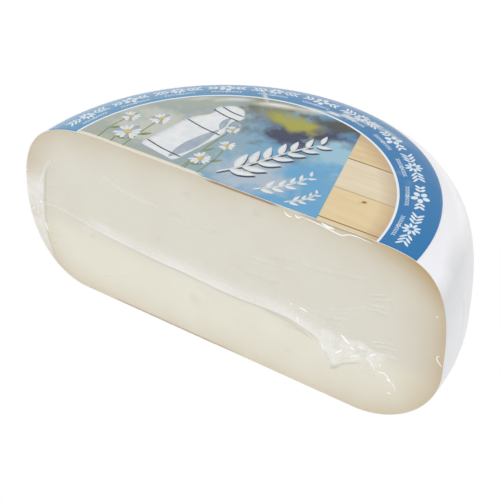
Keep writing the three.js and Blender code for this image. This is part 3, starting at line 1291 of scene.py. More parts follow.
class GeometryTree:
    """A Geometry Nodes tree with named inputs, whose result becomes a plain mesh."""

    KINDS = {
        int: "NodeSocketInt",
        float: "NodeSocketFloat",
        bpy.types.Object: "NodeSocketObject",
        bpy.types.Material: "NodeSocketMaterial",
    }

    def __init__(self, name: str, **values) -> None:
        """Starts the tree with its inputs.

        Args:
            name: The tree's name.
            values: Each input's name and the value it is given.
        """
        self.group = bpy.data.node_groups.new(name, "GeometryNodeTree")
        self.bench = NodeBench(self.group)
        sockets = self.group.interface
        sockets.new_socket("Geometry", in_out="INPUT", socket_type="NodeSocketGeometry")
        sockets.new_socket("Geometry", in_out="OUTPUT", socket_type="NodeSocketGeometry")
        self.settings = {}
        for label, value in values.items():
            kind = self.KINDS[type(value)]
            socket = sockets.new_socket(label, in_out="INPUT", socket_type=kind)
            self.settings[socket.identifier] = value
        self.given = self.bench.add("NodeGroupInput").outputs

    def close(self, geometry: Socket) -> None:
        """Ends the tree: instances become real and take the material."""
        real = self.bench.out("GeometryNodeRealizeInstances", {0: geometry})
        inputs = {"Geometry": real, "Material": self.given["material"]}
        dressed = self.bench.out("GeometryNodeSetMaterial", inputs)
        self.bench.add("NodeGroupOutput", {"Geometry": dressed})

    def run(self, name: str, source: bpy.types.Mesh) -> bpy.types.Object:
        """Runs the tree on a mesh.

        Args:
            name: The name of the piece.
            source: The mesh that the tree starts from.

        Returns:
            The piece, a plain mesh.
        """
        carrier = link_object(f"{name}_carrier", source)
        modifier = carrier.modifiers.new("tree", "NODES")
        modifier.node_group = self.group
        for identifier, value in self.settings.items():
            modifier[identifier] = value
        carrier.update_tag()
        graph = bpy.context.evaluated_depsgraph_get()
        graph.update()
        mesh = bpy.data.meshes.new_from_object(carrier.evaluated_get(graph))
        carrier.modifiers.remove(modifier)
        bpy.data.objects.remove(carrier)
        mesh.name = name
        return link_object(name, mesh)


@dataclass
class BandOrnament:
    """A blossom between two leafy twigs, printed again and again round the label's band."""

    name: str
    count: int
    first_turn: float
    turn_step: float
    petals: int
    petal_length: float
    petal_width: float
    leaves: int
    leaf_length: float
    leaf_width: float
    leaf_step: float
    centre_y: float
    bend: float = -3.5
    ring_radius: float = 95.4 * MM
    ink: float = 0.02 * MM

    def leaf(self, bench: NodeBench, length, width) -> Socket:
        """A flat leaf of eight corners that points along X from the origin.

        Args:
            bench: The tree's bench.
            length: Its length.
            width: Its width.

        Returns:
            The leaf.
        """
        outline = {"Vertices": 8, "Radius": 0.5}
        disc = bench.out("GeometryNodeMeshCircle", outline, fill_type="NGON")
        half = bench.math("MULTIPLY", length, 0.5)
        inputs = {
            "Geometry": disc,
            "Translation": bench.vector(half, 0.0, 0.0),
            "Scale": bench.vector(length, width, 1.0),
        }
        return bench.out("GeometryNodeTransform", inputs)

    def turned(self, bench: NodeBench, shape, turn: float) -> Socket:
        """A shape turned about Z."""
        inputs = {"Geometry": shape, "Rotation": (0.0, 0.0, turn)}
        return bench.out("GeometryNodeTransform", inputs)

    def joined(self, bench: NodeBench, *shapes) -> Socket:
        """Shapes joined into one."""
        node = bench.add("GeometryNodeJoinGeometry")
        for shape in shapes:
            bench.tree.links.new(shape, node.inputs[0])
        return node.outputs[0]

    def motif(self, bench: NodeBench, given) -> Socket:
        """One ornament, upright round the origin.

        Args:
            bench: The tree's bench.
            given: The tree's inputs.

        Returns:
            The ornament, flat.
        """
        petal = self.leaf(bench, given["petal_length"], given["petal_width"])
        heart = bench.math("MULTIPLY", given["petal_length"], 0.3)
        hub = {"Vertices": given["petals"], "Radius": heart}
        points = bench.out("GeometryNodeMeshCircle", hub, fill_type="NONE")
        away = bench.out("GeometryNodeInputPosition")
        facing = bench.add("FunctionNodeAlignRotationToVector", {"Vector": away}, axis="X")
        inputs = {"Points": points, "Instance": petal, "Rotation": facing.outputs[0]}
        blossom = bench.out("GeometryNodeInstanceOnPoints", inputs)
        leaf = self.leaf(bench, given["leaf_length"], given["leaf_width"])
        spread = 0.75
        sides = (self.turned(bench, leaf, turn) for turn in (spread, -spread))
        pair = self.joined(bench, *sides)
        first = bench.math("MULTIPLY", given["petal_length"], 1.35)
        line = {
            "Count": given["leaves"],
            "Start Location": bench.vector(first, 0.0, 0.0),
            "Offset": bench.vector(given["leaf_step"], 0.0, 0.0),
        }
        stem = bench.out("GeometryNodeMeshLine", line)
        leafy = {"Points": stem, "Instance": pair}
        twig = bench.out("GeometryNodeInstanceOnPoints", leafy)
        shape = self.joined(bench, twig, self.turned(bench, twig, math.pi), blossom)
        real = bench.out("GeometryNodeRealizeInstances", {0: shape})
        across = bench.split(bench.out("GeometryNodeInputPosition"))["X"]
        droop = bench.math("MULTIPLY", bench.math("MULTIPLY", across, across), given["bend"])
        inputs = {"Geometry": real, "Offset": bench.vector(0.0, droop, 0.0)}
        return bench.out("GeometryNodeSetPosition", inputs)

    def tree(self, paper: bpy.types.Object, ink: bpy.types.Material) -> GeometryTree:
        """Builds the tree.

        Args:
            paper: The label's paper, on which the ornaments are laid.
            ink: Their material.

        Returns:
            The tree.
        """
        sizes = {size.name: getattr(self, size.name) for size in fields(self)}
        sizes.pop("name")
        tree = GeometryTree(self.name, paper=paper, material=ink, **sizes)
        bench, given = tree.bench, tree.given
        steps = bench.out("GeometryNodeInputIndex")
        turn = bench.math("MULTIPLY_ADD", steps, given["turn_step"], given["first_turn"])
        right = bench.math("MULTIPLY", bench.math("COSINE", turn), given["ring_radius"])
        up = bench.math("MULTIPLY", bench.math("SINE", turn), given["ring_radius"])
        dots = bench.out("GeometryNodeMeshLine", {"Count": given["count"]})
        above = 0.3
        inputs = {"Geometry": dots, "Position": bench.vector(right, up, above)}
        ring = bench.out("GeometryNodeSetPosition", inputs)
        upright = bench.math("SUBTRACT", turn, math.pi / 2)
        facing = bench.add("FunctionNodeEulerToRotation", {0: bench.vector(0.0, 0.0, upright)})
        motif = self.motif(bench, given)
        inputs = {"Points": ring, "Instance": motif, "Rotation": facing.outputs[0]}
        spread = bench.out("GeometryNodeInstanceOnPoints", inputs)
        real = bench.out("GeometryNodeRealizeInstances", {0: spread})
        target = bench.add("GeometryNodeObjectInfo", {0: given["paper"]}).outputs["Geometry"]
        middle = bench.vector(0.0, given["centre_y"], 0.0)
        position = bench.out("GeometryNodeInputPosition")
        source = bench.vector_math("ADD", position, middle)
        ray = {
            "Target Geometry": target,
            "Source Position": source,
            "Ray Direction": (0.0, 0.0, -1.0),
            "Ray Length": 1.0,
        }
        cast = bench.add("GeometryNodeRaycast", ray).outputs
        lift = bench.vector(given["ink"], given["ink"], given["ink"])
        risen = bench.vector_math("MULTIPLY", cast["Hit Normal"], lift)
        place = bench.vector_math("ADD", cast["Hit Position"], risen)
        inputs = {"Geometry": real, "Selection": cast["Is Hit"], "Position": place}
        flat = bench.out("GeometryNodeSetPosition", inputs)
        inputs = {"Mesh": flat, "Offset Scale": given["ink"], "Individual": True}
        thick = bench.out("GeometryNodeExtrudeMesh", inputs, mode="FACES")
        back = bench.out("GeometryNodeFlipFaces", {0: flat})
        closed = self.joined(bench, thick, back)
        touching = 1e-6
        inputs = {"Geometry": closed, "Distance": touching}
        merged = bench.add("GeometryNodeMergeByDistance", inputs)
        tree.close(merged.outputs[0])
        return tree

    def build(self, paper: bpy.types.Object, ink: bpy.types.Material) -> None:
        """Builds and dresses the ring of ornaments.

        Args:
            paper: The label's paper.
            ink: The ornaments' material.
        """
        piece = self.tree(paper, ink).run(self.name, bpy.data.meshes.new(self.name))
        finish_piece(piece)


def band_ornaments(centre_y: float) -> tuple[BandOrnament, ...]:
    """The band's three rings of ornaments.

    Args:
        centre_y: Where the middle of the rings lies along Y.

    Returns:
        The rings, in the order in which they are built.
    """
    step, first = math.radians(31.6), math.radians(11.0)
    return (
        BandOrnament(
            "band_daisies", 6, first, step, 9, 3.5 * MM, 1.5 * MM, 3, 4.4 * MM, 1.3 * MM,
            2.5 * MM, centre_y,
        ),
        BandOrnament(
            "band_clover", 5, first + step / 2, step, 5, 3.6 * MM, 2.8 * MM, 2, 3.4 * MM,
            1.5 * MM, 2.6 * MM, centre_y,
        ),
        BandOrnament(
            "band_buds", 11, first, step / 2, 5, 1.0 * MM, 0.8 * MM, 5, 1.5 * MM, 0.5 * MM,
            1.4 * MM, centre_y, ring_radius=89.4 * MM,
        ),
    )


@dataclass
class Layers:
    """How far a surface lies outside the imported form, along its normal."""

    side: float
    top: float
    base: float
    cut: float
    label: float

    def around(
        self, form: WheelForm, label: Label, turn: Array, reach: Array, upper: Array
    ) -> Array:
        """The distance round the rind, the base and the top.

        Args:
            form: The wheel's form.
            label: The label, over which the surface may lie higher.
            turn: Angles round the wheel.
            reach: Distances from the axis.
            upper: 0 on the lower side and 1 on the upper.

        Returns:
            The distances outside the form.
        """
        rim, flat = label.reach(turn), form.base_flat.at(turn)
        on_top = (1.0 - ease(reach, 0.86 * form.radius, form.radius)) * upper
        on_base = (1.0 - ease(reach, flat, flat + 15 * MM)) * (1.0 - upper)
        on_label = (1.0 - ease(reach, rim, rim + 0.8 * MM)) * upper
        place = self.side + (self.top - self.side) * on_top + (self.base - self.side) * on_base
        return place + (self.label - place) * on_label


class Grading(Enum):
    """Where the rows of the cut face lie closer together."""

    AT_FOLD = "at the fold"
    AT_BOTH = "at the fold and at the outline"

    def shares(self, rows: int) -> Array:
        """The rows' shares of the way from the fold line to the outline."""
        even = np.linspace(0.0, 1.0, rows + 1)
        return even**1.5 if self is Grading.AT_FOLD else ease(even, 0.0, 1.0)


@dataclass
class Shell:
    """A closed surface that follows the half wheel round its rind and over its cut face."""

    form: WheelForm
    label: Label
    layers: Layers
    steps: SectionSteps
    turns: int
    columns: int
    rows_under: int
    rows_over: int
    grading: Grading
    edge_radius: float = 0.5 * MM
    edge_rows: int = 4
    rim_margin: float = 2.0 * MM

    def around(self, skin: Skin, look: Callable[..., Look], slot: int) -> tuple:
        """Adds the rind, the base and the top.

        Args:
            skin: The mesh in the making.
            look: Gives the lift and the attributes, from turn, reach, upper share and points.
            slot: The material slot.

        Returns:
            The rim along the cut: its places across and up, and the numbers of its points, for
            the lower and the upper half, each from the left end to the right.
        """
        turn = np.linspace(0.0, math.pi, self.turns + 1)[:, None]
        reach, height = self.form.section(turn, self.steps)
        turn = np.broadcast_to(turn, reach.shape)
        points = self.form.points(turn, reach, height, self.edge_radius - self.layers.cut)
        out = unit(np.cross(np.gradient(points, axis=0), np.gradient(points, axis=1)))
        out[:, : self.steps.base] = (0.0, 0.0, -1.0)
        out[:, -self.steps.top :] = (0.0, 0.0, 1.0)
        out[[0, -1], :, 1] = 0.0
        out = unit(out)
        upper = np.zeros_like(reach)
        upper[:, self.steps.widest :] = 1.0
        lift, values = look(turn, reach, upper, points)
        place = self.layers.around(self.form, self.label, turn, reach, upper)
        points = points + out * (place + lift)[..., None]
        flipped = {name: np.broadcast_to(v, reach.shape)[:, ::-1] for name, v in values.items()}
        index = skin.grid(points[:, ::-1], slot, **flipped)[:, ::-1]
        widest = self.steps.widest
        halves = []
        for rows in (points[..., [0, 2]], index):
            right, left = rows[0], rows[-1]
            lower = np.concatenate([left[: widest + 1][::-1], right[1 : widest + 1]])
            upper_half = np.concatenate([left[widest:], right[widest:-1][::-1]])
            halves.append((lower, upper_half))
        return tuple(halves)

    @staticmethod
    def drawn_in(lower: Array, upper: Array, inset: float) -> tuple:
        """Draws the rim in by a distance.

        Args:
            lower: The rim's lower half.
            upper: The rim's upper half.
            inset: The distance.

        Returns:
            The two halves, drawn in.
        """
        loop = np.vstack([lower, upper[::-1][1:-1]])
        along = unit(np.roll(loop, -1, axis=0) - np.roll(loop, 1, axis=0))
        drawn = loop + inset * np.stack([-along[:, 1], along[:, 0]], axis=-1)
        closed = np.vstack([drawn, drawn[:1]])
        return closed[: len(lower)], closed[len(lower) - 1 :][::-1]

    def cut_face(
        self, skin: Skin, rim: tuple, look: Callable[..., Look], slots: tuple[int, int]
    ) -> None:
        """Adds the eased cut edge and the cut face.

        Args:
            skin: The mesh in the making.
            rim: What around gave.
            look: Gives the lift and the attributes, from places across and up the face and their
                distances from its outline.
            slots: The material slots of the edge's first strip and of the face.
        """
        (lower, upper), (lower_index, upper_index) = rim
        count = self.columns + 1
        level = self.form.cut_y - self.layers.cut
        rows, depths = [], []
        for k in range(1, self.edge_rows + 1):
            lean = math.pi / 2 * k / self.edge_rows
            inset = self.edge_radius * (1.0 - math.cos(lean))
            low, high = (evenly(half, count) for half in self.drawn_in(lower, upper, inset))
            rows.append(np.vstack([low, high[::-1][1:]]))
            depths.append(level + self.edge_radius * (1.0 - math.sin(lean)))
        places = np.stack(rows)
        depth = np.broadcast_to(np.array(depths)[:, None], places.shape[:2])
        values = look(places[..., 0], places[..., 1], np.zeros(depth.shape))[1]
        points = np.stack([places[..., 0], depth, places[..., 1]], axis=-1)
        index = skin.grid(points, slots[1], **values)
        loop = np.concatenate([lower_index, upper_index[::-1][1:]])
        skin.strip(loop, index[0], slots[0])

        guide = [(across * MM, up * MM) for across, up in FACE_GUIDE]
        middle = spline([tuple(low[0]), *guide, tuple(low[-1])], count)
        middle[:, 1] = np.clip(middle[:, 1], low[:, 1], high[:, 1])
        face = [blend(middle, low, share) for share in self.grading.shares(self.rows_under)[::-1]]
        face += [blend(middle, high, share) for share in self.grading.shares(self.rows_over)[1:]]
        places, outline = np.stack(face), rows[-1]
        gaps = [np.linalg.norm(row[:, None] - outline[None], axis=-1).min(axis=1) for row in places]
        margin = np.stack(gaps)
        lift, values = look(places[..., 0], places[..., 1], margin)
        depth = level - lift * ease(margin, 0.0, self.rim_margin)
        points = np.stack([places[..., 0], depth, places[..., 1]], axis=-1)
        skin.grid(points, slots[1], **values)

    def build(
        self,
        name: str,
        around_look: Callable[..., Look],
        face_look: Callable[..., Look],
        slots: tuple[int, int] = (0, 0),
    ) -> bpy.types.Object:
        """Builds the whole surface.

        Args:
            name: The object's name.
            around_look: The look round the rind, as around takes it.
            face_look: The look of the cut face, as cut_face takes it.
            slots: The material slots of the rind and of the cut face.

        Returns:
            The object.
        """
        skin = Skin()
        rim = self.around(skin, around_look, slots[0])
        self.cut_face(skin, rim, face_look, slots)
        return skin.build(name)


@dataclass
class Cheese:
    """The cheese itself, inside its film."""

    form: WheelForm
    label: Label
    shadows: tuple[Crease, ...]
    layers: Layers = field(
        default_factory=lambda: Layers(-0.64 * MM, 0.28 * MM, -0.45 * MM, -0.4 * MM, 0.35 * MM)
    )
    ripe_at_ends: float = 12 * MM
    ripe_at_middle: float = 8 * MM
    ripeness_at_ends: float = 0.66
    ripeness_at_middle: float = 0.36
    top_line: float = 0.9
    base_line: float = 0.6
    shadow_strength: float = 0.62
    dent_depth: float = 0.25 * MM
    dent_shade: float = 0.16
    unevenness: float = 0.05 * MM
    dents: tuple[tuple[float, float, float], ...] = (
        (-18.1, 88.4, 3.4), (-14, 24.7, 5.4), (22.4, 92.8, 3), (-36.5, 53.3, 2.2),
        (-80, 37.2, 2.4),
    )

    def rind_look(self, turn, reach, upper, points) -> Look:
        """The rind has no relief of its own and no paste."""
        still = 0.0 * reach
        return still, {"ripeness": still, "rind_line": still, "shade": still}

    def face_look(self, across: Array, up: Array, margin: Array) -> Look:
        """The cut face: nearly flat, and riper towards its outline.

        Args:
            across: Places along the cut.
            up: Heights.
            margin: Distances from the outline.

        Returns:
            The lift, how ripe the paste is, its thin brown edge line, partly the rind's edge and
            partly painted shade, and its painted shade from the film's creases and the dents.
        """
        right, x = across / self.form.radius, across / MM
        endness = blend(0.45, 1.0, ease(right, -0.6, 0.5)) * ease(np.abs(right), 0.4, 0.95)
        width = blend(self.ripe_at_middle, self.ripe_at_ends, endness)
        most = blend(self.ripeness_at_middle, self.ripeness_at_ends, endness)
        ripeness = np.exp(-margin / width) * most
        ripeness *= 1.0 - 0.15 * endness * (1.0 - ease(up, 10 * MM, 45 * MM))
        ripeness *= 1.0 + 0.5 * ease(right, 0.5, 0.85) * ease(up, 76 * MM, 98 * MM)
        upper = ease(up, 60 * MM, 70 * MM)
        # The thin brown edge line: partly the rind's edge, partly painted shade under the label's front
        # edge and along the base.
        strong, faint = ease(x, -9, -2) - ease(x, 30, 36), ease(x, 44, 50) - ease(x, 82, 88)
        on_top = upper * (strong + 0.4 * faint)
        on_base = (1.0 - upper) * (ease(x, -72, -62) - ease(x, 2, 18))
        line = (1.0 - ease(margin, 0.2 * MM, 1.1 * MM)) * (
            self.top_line * on_top + self.base_line * on_base
        )
        dent = np.zeros_like(across)
        for place_x, place_z, radius in self.dents:
            gap = np.hypot(x - place_x, up / MM - place_z)
            dent = np.maximum(dent, 1.0 - ease(gap / radius, 0.0, 1.0))
        uneven = np.sin(across / (17 * MM)) * np.sin(up / (13 * MM) + 0.7)
        lift = self.unevenness * uneven - self.dent_depth * dent
        # Painted shadows under the film's creases, and painted shade in the dents.
        shadow = self.shadow_strength * combine(self.shadows, across, up)[1]
        shade = np.maximum(shadow, self.dent_shade * dent)
        return lift, {"ripeness": ripeness, "rind_line": line, "shade": shade}

    def build(self) -> None:
        """Builds and dresses the cheese."""
        steps, grading = SectionSteps(8, 26, 34, 10), Grading.AT_BOTH
        shell = Shell(self.form, self.label, self.layers, steps, 150, 400, 60, 70, grading)
        piece = shell.build("cheese", self.rind_look, self.face_look, (1, 0))
        materials = [PasteFinish().material(), RindFinish().material()]
        finish_piece(piece, materials, WHEEL_NODE)


@dataclass
class FilmWrap:
    """The clear film pulled tight round the cheese and its label."""

    form: WheelForm
    label: Label
    layers: Layers = field(
        default_factory=lambda: Layers(-0.46 * MM, 0.5 * MM, -0.33 * MM, -0.1 * MM, 0.75 * MM)
    )
    most_lift: float = 1.7 * MM
    least_lift: float = -0.2 * MM
    pleat_lift: float = 0.55 * MM
    pleat_milk: float = 0.62
    pleat_shade: float = 0.6
    pleat: Places = (
        (-104.8, 76), (-109.4, 67), (-111.6, 55), (-112.4, 45), (-112.9, 33.5), (-112.2, 26),
        (-109, 14), (-103, 4),
    )
    face_forms: tuple[Crease | Crumple, ...] = (
        Crease(LONG_FOLD[:8], 0.35, 1.2, 0.6, 0.36, 0.1, 0.05, 0.5),
        Crease(LONG_FOLD[3:], 0.4, 2.2, 0.45, 0.34, 0.6, 0.3, 0.02),
        Crease(LONG_FOLD[2:19], 0.1, 8, 0.6, 0.46, 0, 0.16, 0.02),
        Crease(LONG_FOLD[6:18], 0.05, 13, 0.5, 0.2, 0, 0.3, 0.1),
        Crease(((-84, 46.2), (-76, 46.6), (-66, 45.2)), 0, 2.6, 4.4, 0.24, 0, 0.6, 0.4),
        Crease(((-90, 38.4), (-84, 40.4), (-77, 43.4)), 0, 2.6, 2.2, 0.18, 0, 0.4, 0.4),
        Crease(
            (
                (-77.2, 80.3), (-72.1, 78.5), (-65.7, 77.3), (-58.2, 74.9), (-43.7, 73.7),
                (-31.3, 73.9),
            ),
            0.2, 1.6, 1, 0.22, 0.1,
        ),
        Crease(
            ((-40, 74), (-27, 73.7), (-19.1, 73.3), (-13.1, 72.1), (4.7, 73.6)),
            0.3, 0.9, 2.4, 0.14, 0.34,
        ),
        Crease(((-26, 69.4), (-20, 70.4), (-13.1, 70.3)), 0.2, 1.2, 1.2, 0.12, 0.15),
        Crease(((14, 68), (23.9, 67.6), (39.2, 68.8), (48, 71)), 0.25, 1, 2.2, 0.18, 0.26),
        Crease(((26, 71.5), (41, 74.5), (50, 77)), 0.15, 1.2, 1.2, 0.12, 0.2),
        Crease(((44, 74), (58.2, 75.5), (69.8, 77.9), (85.3, 81.1)), 0.25, 1.8, 0.9, 0.14, 0.2),
        Crease(((8, 58.2), (17, 57.2), (28.1, 56.9), (38, 59)), 0.2, 1.2, 1, 0.12, 0.24),
        Crease(
            ((39.7, 52.1), (48.2, 52.3), (56.6, 53.3), (64.8, 55), (75.3, 59.8), (86.5, 66.4)),
            0.35, 1.2, 3.2, 0.16, 0.3,
        ),
        Crease(((56, 50.4), (62, 50.2), (68, 51), (76, 54)), 0.3, 1.4, 1.2, 0.2, 0.2),
        Crease(((50, 50.5), (55.1, 49), (62.4, 47.6), (70.8, 45.6), (79.4, 45.2)), 0.4, 1, 3, 0.16, 0.25),
        Crease(((84.5, 66.9), (88, 67.8), (94.6, 69)), 0.3, 0.7, 0.5, 0.5, 0.24),
        Crease(((84.5, 64.4), (88.5, 65.6), (93.8, 65.6)), 0.3, 0.7, 0.5, 0.55, 0.3),
        Crease(((84.9, 73), (88.5, 74.6), (93.5, 76.2)), 0.22, 0.7, 0.5, 0.3, 0.16),
        Crease(((86.1, 70.4), (91, 72.6), (97.1, 75)), 0.22, 0.7, 0.5, 0.3, 0.16),
        Crease(((87.5, 45.6), (92.5, 48.2), (99.3, 50)), 0.3, 0.8, 0.6, 0.34, 0.14),
        Crease(((87.7, 43.4), (94.5, 46.2), (102.1, 47.3)), 0.3, 0.8, 0.6, 0.34, 0.14),
        Crease(((89.6, 39.4), (95.5, 41.8), (102.6, 41.9)), 0.35, 0.9, 0.6, 0.4, 0.18),
        # Shade-only creases: painted shadows below the long fold and the bunch, with a slight dip of the
        # film.
        Crease(((24, 38.6), (38, 38), (48.9, 35.6), (56.5, 32.4)), -0.1, 1.6, 2.6, 0, 0.5),
        Crease(((37.9, 34.2), (48.9, 35), (58.7, 32.2)), -0.1, 1.4, 1.4, 0, 0.3),
        Crease(((65, 19.6), (68.3, 21), (72.4, 25)), -0.1, 1, 1.4, 0, 0.7, 0.3, 0.6),
        Crease(((40.2, 19.3), (45, 18.1)), -0.1, 1, 1, 0, 0.24),
        Crease(((-110.4, 59), (-105, 60.6), (-99, 61.9)), 0.3, 0.8, 0.6, 0.16, 0.12),
        Crease(((-112, 28.2), (-107, 28.8), (-101.5, 28.2)), 0.3, 0.8, 0.6, 0.14, 0.12),
        Crease(((-110.6, 21), (-106, 22.4), (-100.5, 22.8)), 0.3, 0.8, 0.6, 0.14, 0.12),
        Crease(((-79, 12.6), (-68, 17.5), (-57, 20.9)), 0.22, 1, 1.4, 0.14, 0.16),
        Crease(((-13.5, 34.3), (-6.4, 33.6), (0.6, 32.6)), 0.22, 0.9, 0.7, 0.12, 0.16),
        Crumple(
            (
                (54.5, 37.5), (58.8, 32.6), (63, 28.3), (65.6, 23.4), (68.7, 22.2), (74.8, 27.2),
                (82.2, 31), (87.3, 33), (91.4, 29.3), (93.5, 34.5), (97.9, 41.3), (89, 42.8),
                (82.7, 45), (76.9, 43.4), (70.8, 42.8), (62, 43.8),
            ),
            1.15, 0.7, 2.2,
            ((0.4, 11, 0.3), (1.3, 7, 0.1), (2.3, 9, 0.55), (2.9, 5, 0.2)),
        ),
        Crease(((64.8, 22.4), (68.7, 22.2), (74.8, 27.2), (82.2, 31.3)), 0.3, 1.6, 0.5, 0.3, 0.5),
        Crease(((61, 29.4), (67, 33.2), (75, 37.4)), 0.4, 1.2, 0.8, 0.3, 0.3),
        Crease(((67, 24.6), (72, 27), (78, 29.3), (84.5, 32.6)), 0.45, 1.2, 0.7, 0.3, 0.2),
        Crease(((70.7, 27.4), (78, 33.3), (83.3, 36.5), (90.5, 40.6)), 0.45, 1, 0.8, 0.3, 0.35),
        Crease(((72, 36), (78, 36.6), (86, 40.6)), 0.35, 1, 0.8, 0.2, 0.35),
        Crease(((87, 36.4), (88.4, 32.6), (90.8, 28.8)), 0.45, 0.7, 0.7, 0.4, 0.2),
        Crease(((85.2, 35.4), (86.4, 31.6), (88.8, 27.8)), 0.35, 0.7, 0.7, 0.3, 0.2),
        Crease(((80, 28.6), (85.4, 27.2), (93.2, 26.5)), 0.3, 1.2, 0.7, 0.12, 0.2),
    )
    left_forms: tuple[Crease, ...] = (
        Crease(
            ((-103.5, 78.2), (-106.8, 73.5), (-110.9, 65.9), (-114.5, 57.4), (-117.3, 51)),
            0.5, 1, 1, 0.4,
        ),
        Crease(((-119, 51.5), (-115.4, 48.6), (-111, 46)), 0.6, 1.1, 1.1, 0.6),
        Crease(((-118.4, 44), (-115.6, 34), (-113.9, 22)), 0.4, 0.9, 0.9, 0.25),
        Crease(((-121, 62), (-121.6, 50), (-119.4, 36)), 0.4, 0.9, 0.9, 0.2),
    )
    top_forms: tuple[Crease, ...] = (
        Crease(
            (
                (-70, 49), (-53.1, 60.6), (-34.9, 70.8), (-17.2, 77), (-4.5, 81), (18.6, 87),
                (36, 87.4), (54, 83.6), (66, 78.4),
            ),
            0.2, 1.6, 1.6, 0.95, 0, 0.3, 0.4,
        ),
        Crease(((-27, 74.4), (-15, 77.6), (-4.5, 80.4), (12, 84.6)), 0.12, 1.2, 3, 0.7),
        Crease(((-33.6, 88.7), (-29, 84.4), (-25, 80), (-20.8, 76)), 0.2, 1.3, 0.8, 0.75, 0, 0.1, 0.2),
        Crease(((14.6, 93.4), (18, 89.6), (23.2, 84.4)), 0.15, 2.6, 1.6, 0.35),
        Crease(((24.2, 90.4), (34, 89), (46, 85.6), (56, 79)), 0.15, 2.4, 1.4, 0.35),
        Crease(((-88, 22), (-80, 40), (-66, 62)), 0.12, 0.8, 0.8, 0.12),
        Crease(((60, 60), (78, 48), (90, 30)), 0.12, 0.7, 0.7, 0.1),
    )
    side_forms: tuple[Crease, ...] = (
        Crease(((72, 74), (78.5, 60.9), (86.2, 48.8), (92.7, 39), (92, 30)), 0.3, 3, 1.2, 0.06),
        Crease(((104, 78), (97, 66), (88, 58)), 0.3, 2.5, 1.2, 0.08),
        Crease(((20, 80), (22, 52), (16, 24)), 0.25, 1.6, 2.4, 0.06),
        Crease(((130, 88), (138, 60), (160, 20)), 0.35, 1.2, 3, 0.12),
        Crease(((196, 99), (197, 60), (196, 6)), 0.42, 0.7, 7, 0.34, 0, 0.1, 0.02),
        Crease(((204, 96), (205, 50), (203, 8)), 0.25, 0.6, 0.6, 0.3, 0, 0.1, 0.1),
        Crease(((184, 50), (189, 26), (194, 6)), 0.4, 1.8, 0.9, 0.24, 0, 0.4, 0.02),
        Crease(((170, 38), (180, 20), (190, 5)), 0.4, 1.8, 0.9, 0.24, 0, 0.4, 0.02),
        Crease(((214, 54), (207, 28), (200, 6)), 0.4, 0.9, 1.8, 0.24, 0, 0.4, 0.02),
        Crease(((230, 40), (216, 20), (204, 5)), 0.4, 0.9, 1.8, 0.24, 0, 0.4, 0.02),
        Crease(((250, 84), (258, 58), (246, 26)), 0.3, 2.2, 1.2, 0.08),
        Crease(((300, 90), (296, 60), (310, 18)), 0.35, 1.2, 2.6, 0.12),
        Crease(((352, 84), (362, 56), (356, 24)), 0.35, 1.2, 1.6, 0.14),
        Crease(((374, 80), (380, 52), (376, 18)), 0.4, 1, 1.4, 0.3),
        Crease(((384, 76), (387, 48), (384, 20)), 0.4, 1, 1, 0.3),
    )
    base_forms: tuple[Crease, ...] = (
        Crease(((-100, 38), (-40, 44), (30, 42), (104, 40)), 0.3, 0.8, 9, 0.4, 0, 0.05, 0.05),
        Crease(((0, 44), (2, 80), (0, 104)), 0.3, 0.8, 6, 0.35, 0, 0.05, 0.02),
        Crease(((-70, 60), (-40, 54), (-6, 52)), 0.25, 1.2, 2.5, 0.15),
        Crease(((20, 66), (48, 60), (80, 58)), 0.25, 1.2, 2.5, 0.15),
        Crease(((-90, 12), (-60, 18), (-20, 16)), 0.25, 1.2, 2.5, 0.12),
        Crease(((24, 18), (60, 12), (96, 16)), 0.25, 1.2, 2.5, 0.12),
    )

    def around_look(self, turn, reach, upper, points) -> Look:
        """The film round the rind, under the base and over the label.

        Args:
            turn: Angles round the wheel.
            reach: Distances from the axis.
            upper: 0 on the lower side and 1 on the upper.
            points: The points of the surface.

        Returns:
            The lift, and the milkiness with its painted highlights.
        """
        across, deep = points[..., 0], points[..., 1] - self.form.cut_y
        height = points[..., 2]
        near_axis = 1.0 - ease(reach, 0.86 * self.form.radius, 0.93 * self.form.radius)
        on_base = (1.0 - ease(height, 0.5 * MM, 4 * MM)) * (1.0 - upper)
        on_side = 1.0 - np.maximum(upper * near_axis, on_base)
        zones = (
            (self.top_forms, across, deep, upper * near_axis),
            (self.base_forms, across, deep, on_base),
            (self.side_forms, turn * self.form.radius, height, on_side),
        )
        lift, clear = np.zeros_like(reach), np.ones_like(reach)
        for forms, first, second, share in zones:
            rise, milk = combine(forms, first, second)
            lift += rise * share
            clear *= 1.0 - milk * share
        behind = ease(deep, 0.0, 2.5 * MM)
        gathered = ease(turn, math.radians(172), math.radians(179)) * (1.0 - upper * near_axis)
        gathered *= 1.0 - ease(height, 58 * MM, 78 * MM)
        return lift * behind, {"milk": 1.0 - clear * (1.0 - 0.5 * gathered)}

    def gathered(self, across: Array, up: Array) -> tuple[Array, Array]:
        """The doubled film outside the pleat at the left end of the cut.

        Args:
            across: Places along the cut.
            up: Heights.

        Returns:
            The lift and the milkiness.
        """
        line = spline(self.pleat, 60)[::-1]
        border = np.interp(up / MM, line[:, 1], line[:, 0])
        outside = ease(border - across / MM, -0.4, 0.7)
        low = 1.0 - ease(up, 52 * MM, 74 * MM)
        cloudy = low * blend(0.35, 1.0, ease(up, 8 * MM, 28 * MM))
        lift = self.pleat_lift * outside * blend(0.7, 1.0, low)
        return lift, self.pleat_milk * outside * cloudy

    def face_look(self, across: Array, up: Array, margin: Array) -> Look:
        """The film over the cut face.

        Args:
            across: Places along the cut.
            up: Heights.
            margin: Distances from the outline.

        Returns:
            The lift, and the milkiness with its painted highlights.
        """
        lift, milk = combine((*self.face_forms, *self.left_forms), across, up)
        doubled, cloudy = self.gathered(across, up)
        milk = 1.0 - (1.0 - milk) * (1.0 - cloudy)
        return np.clip(lift + doubled, self.least_lift, self.most_lift), {"milk": milk}

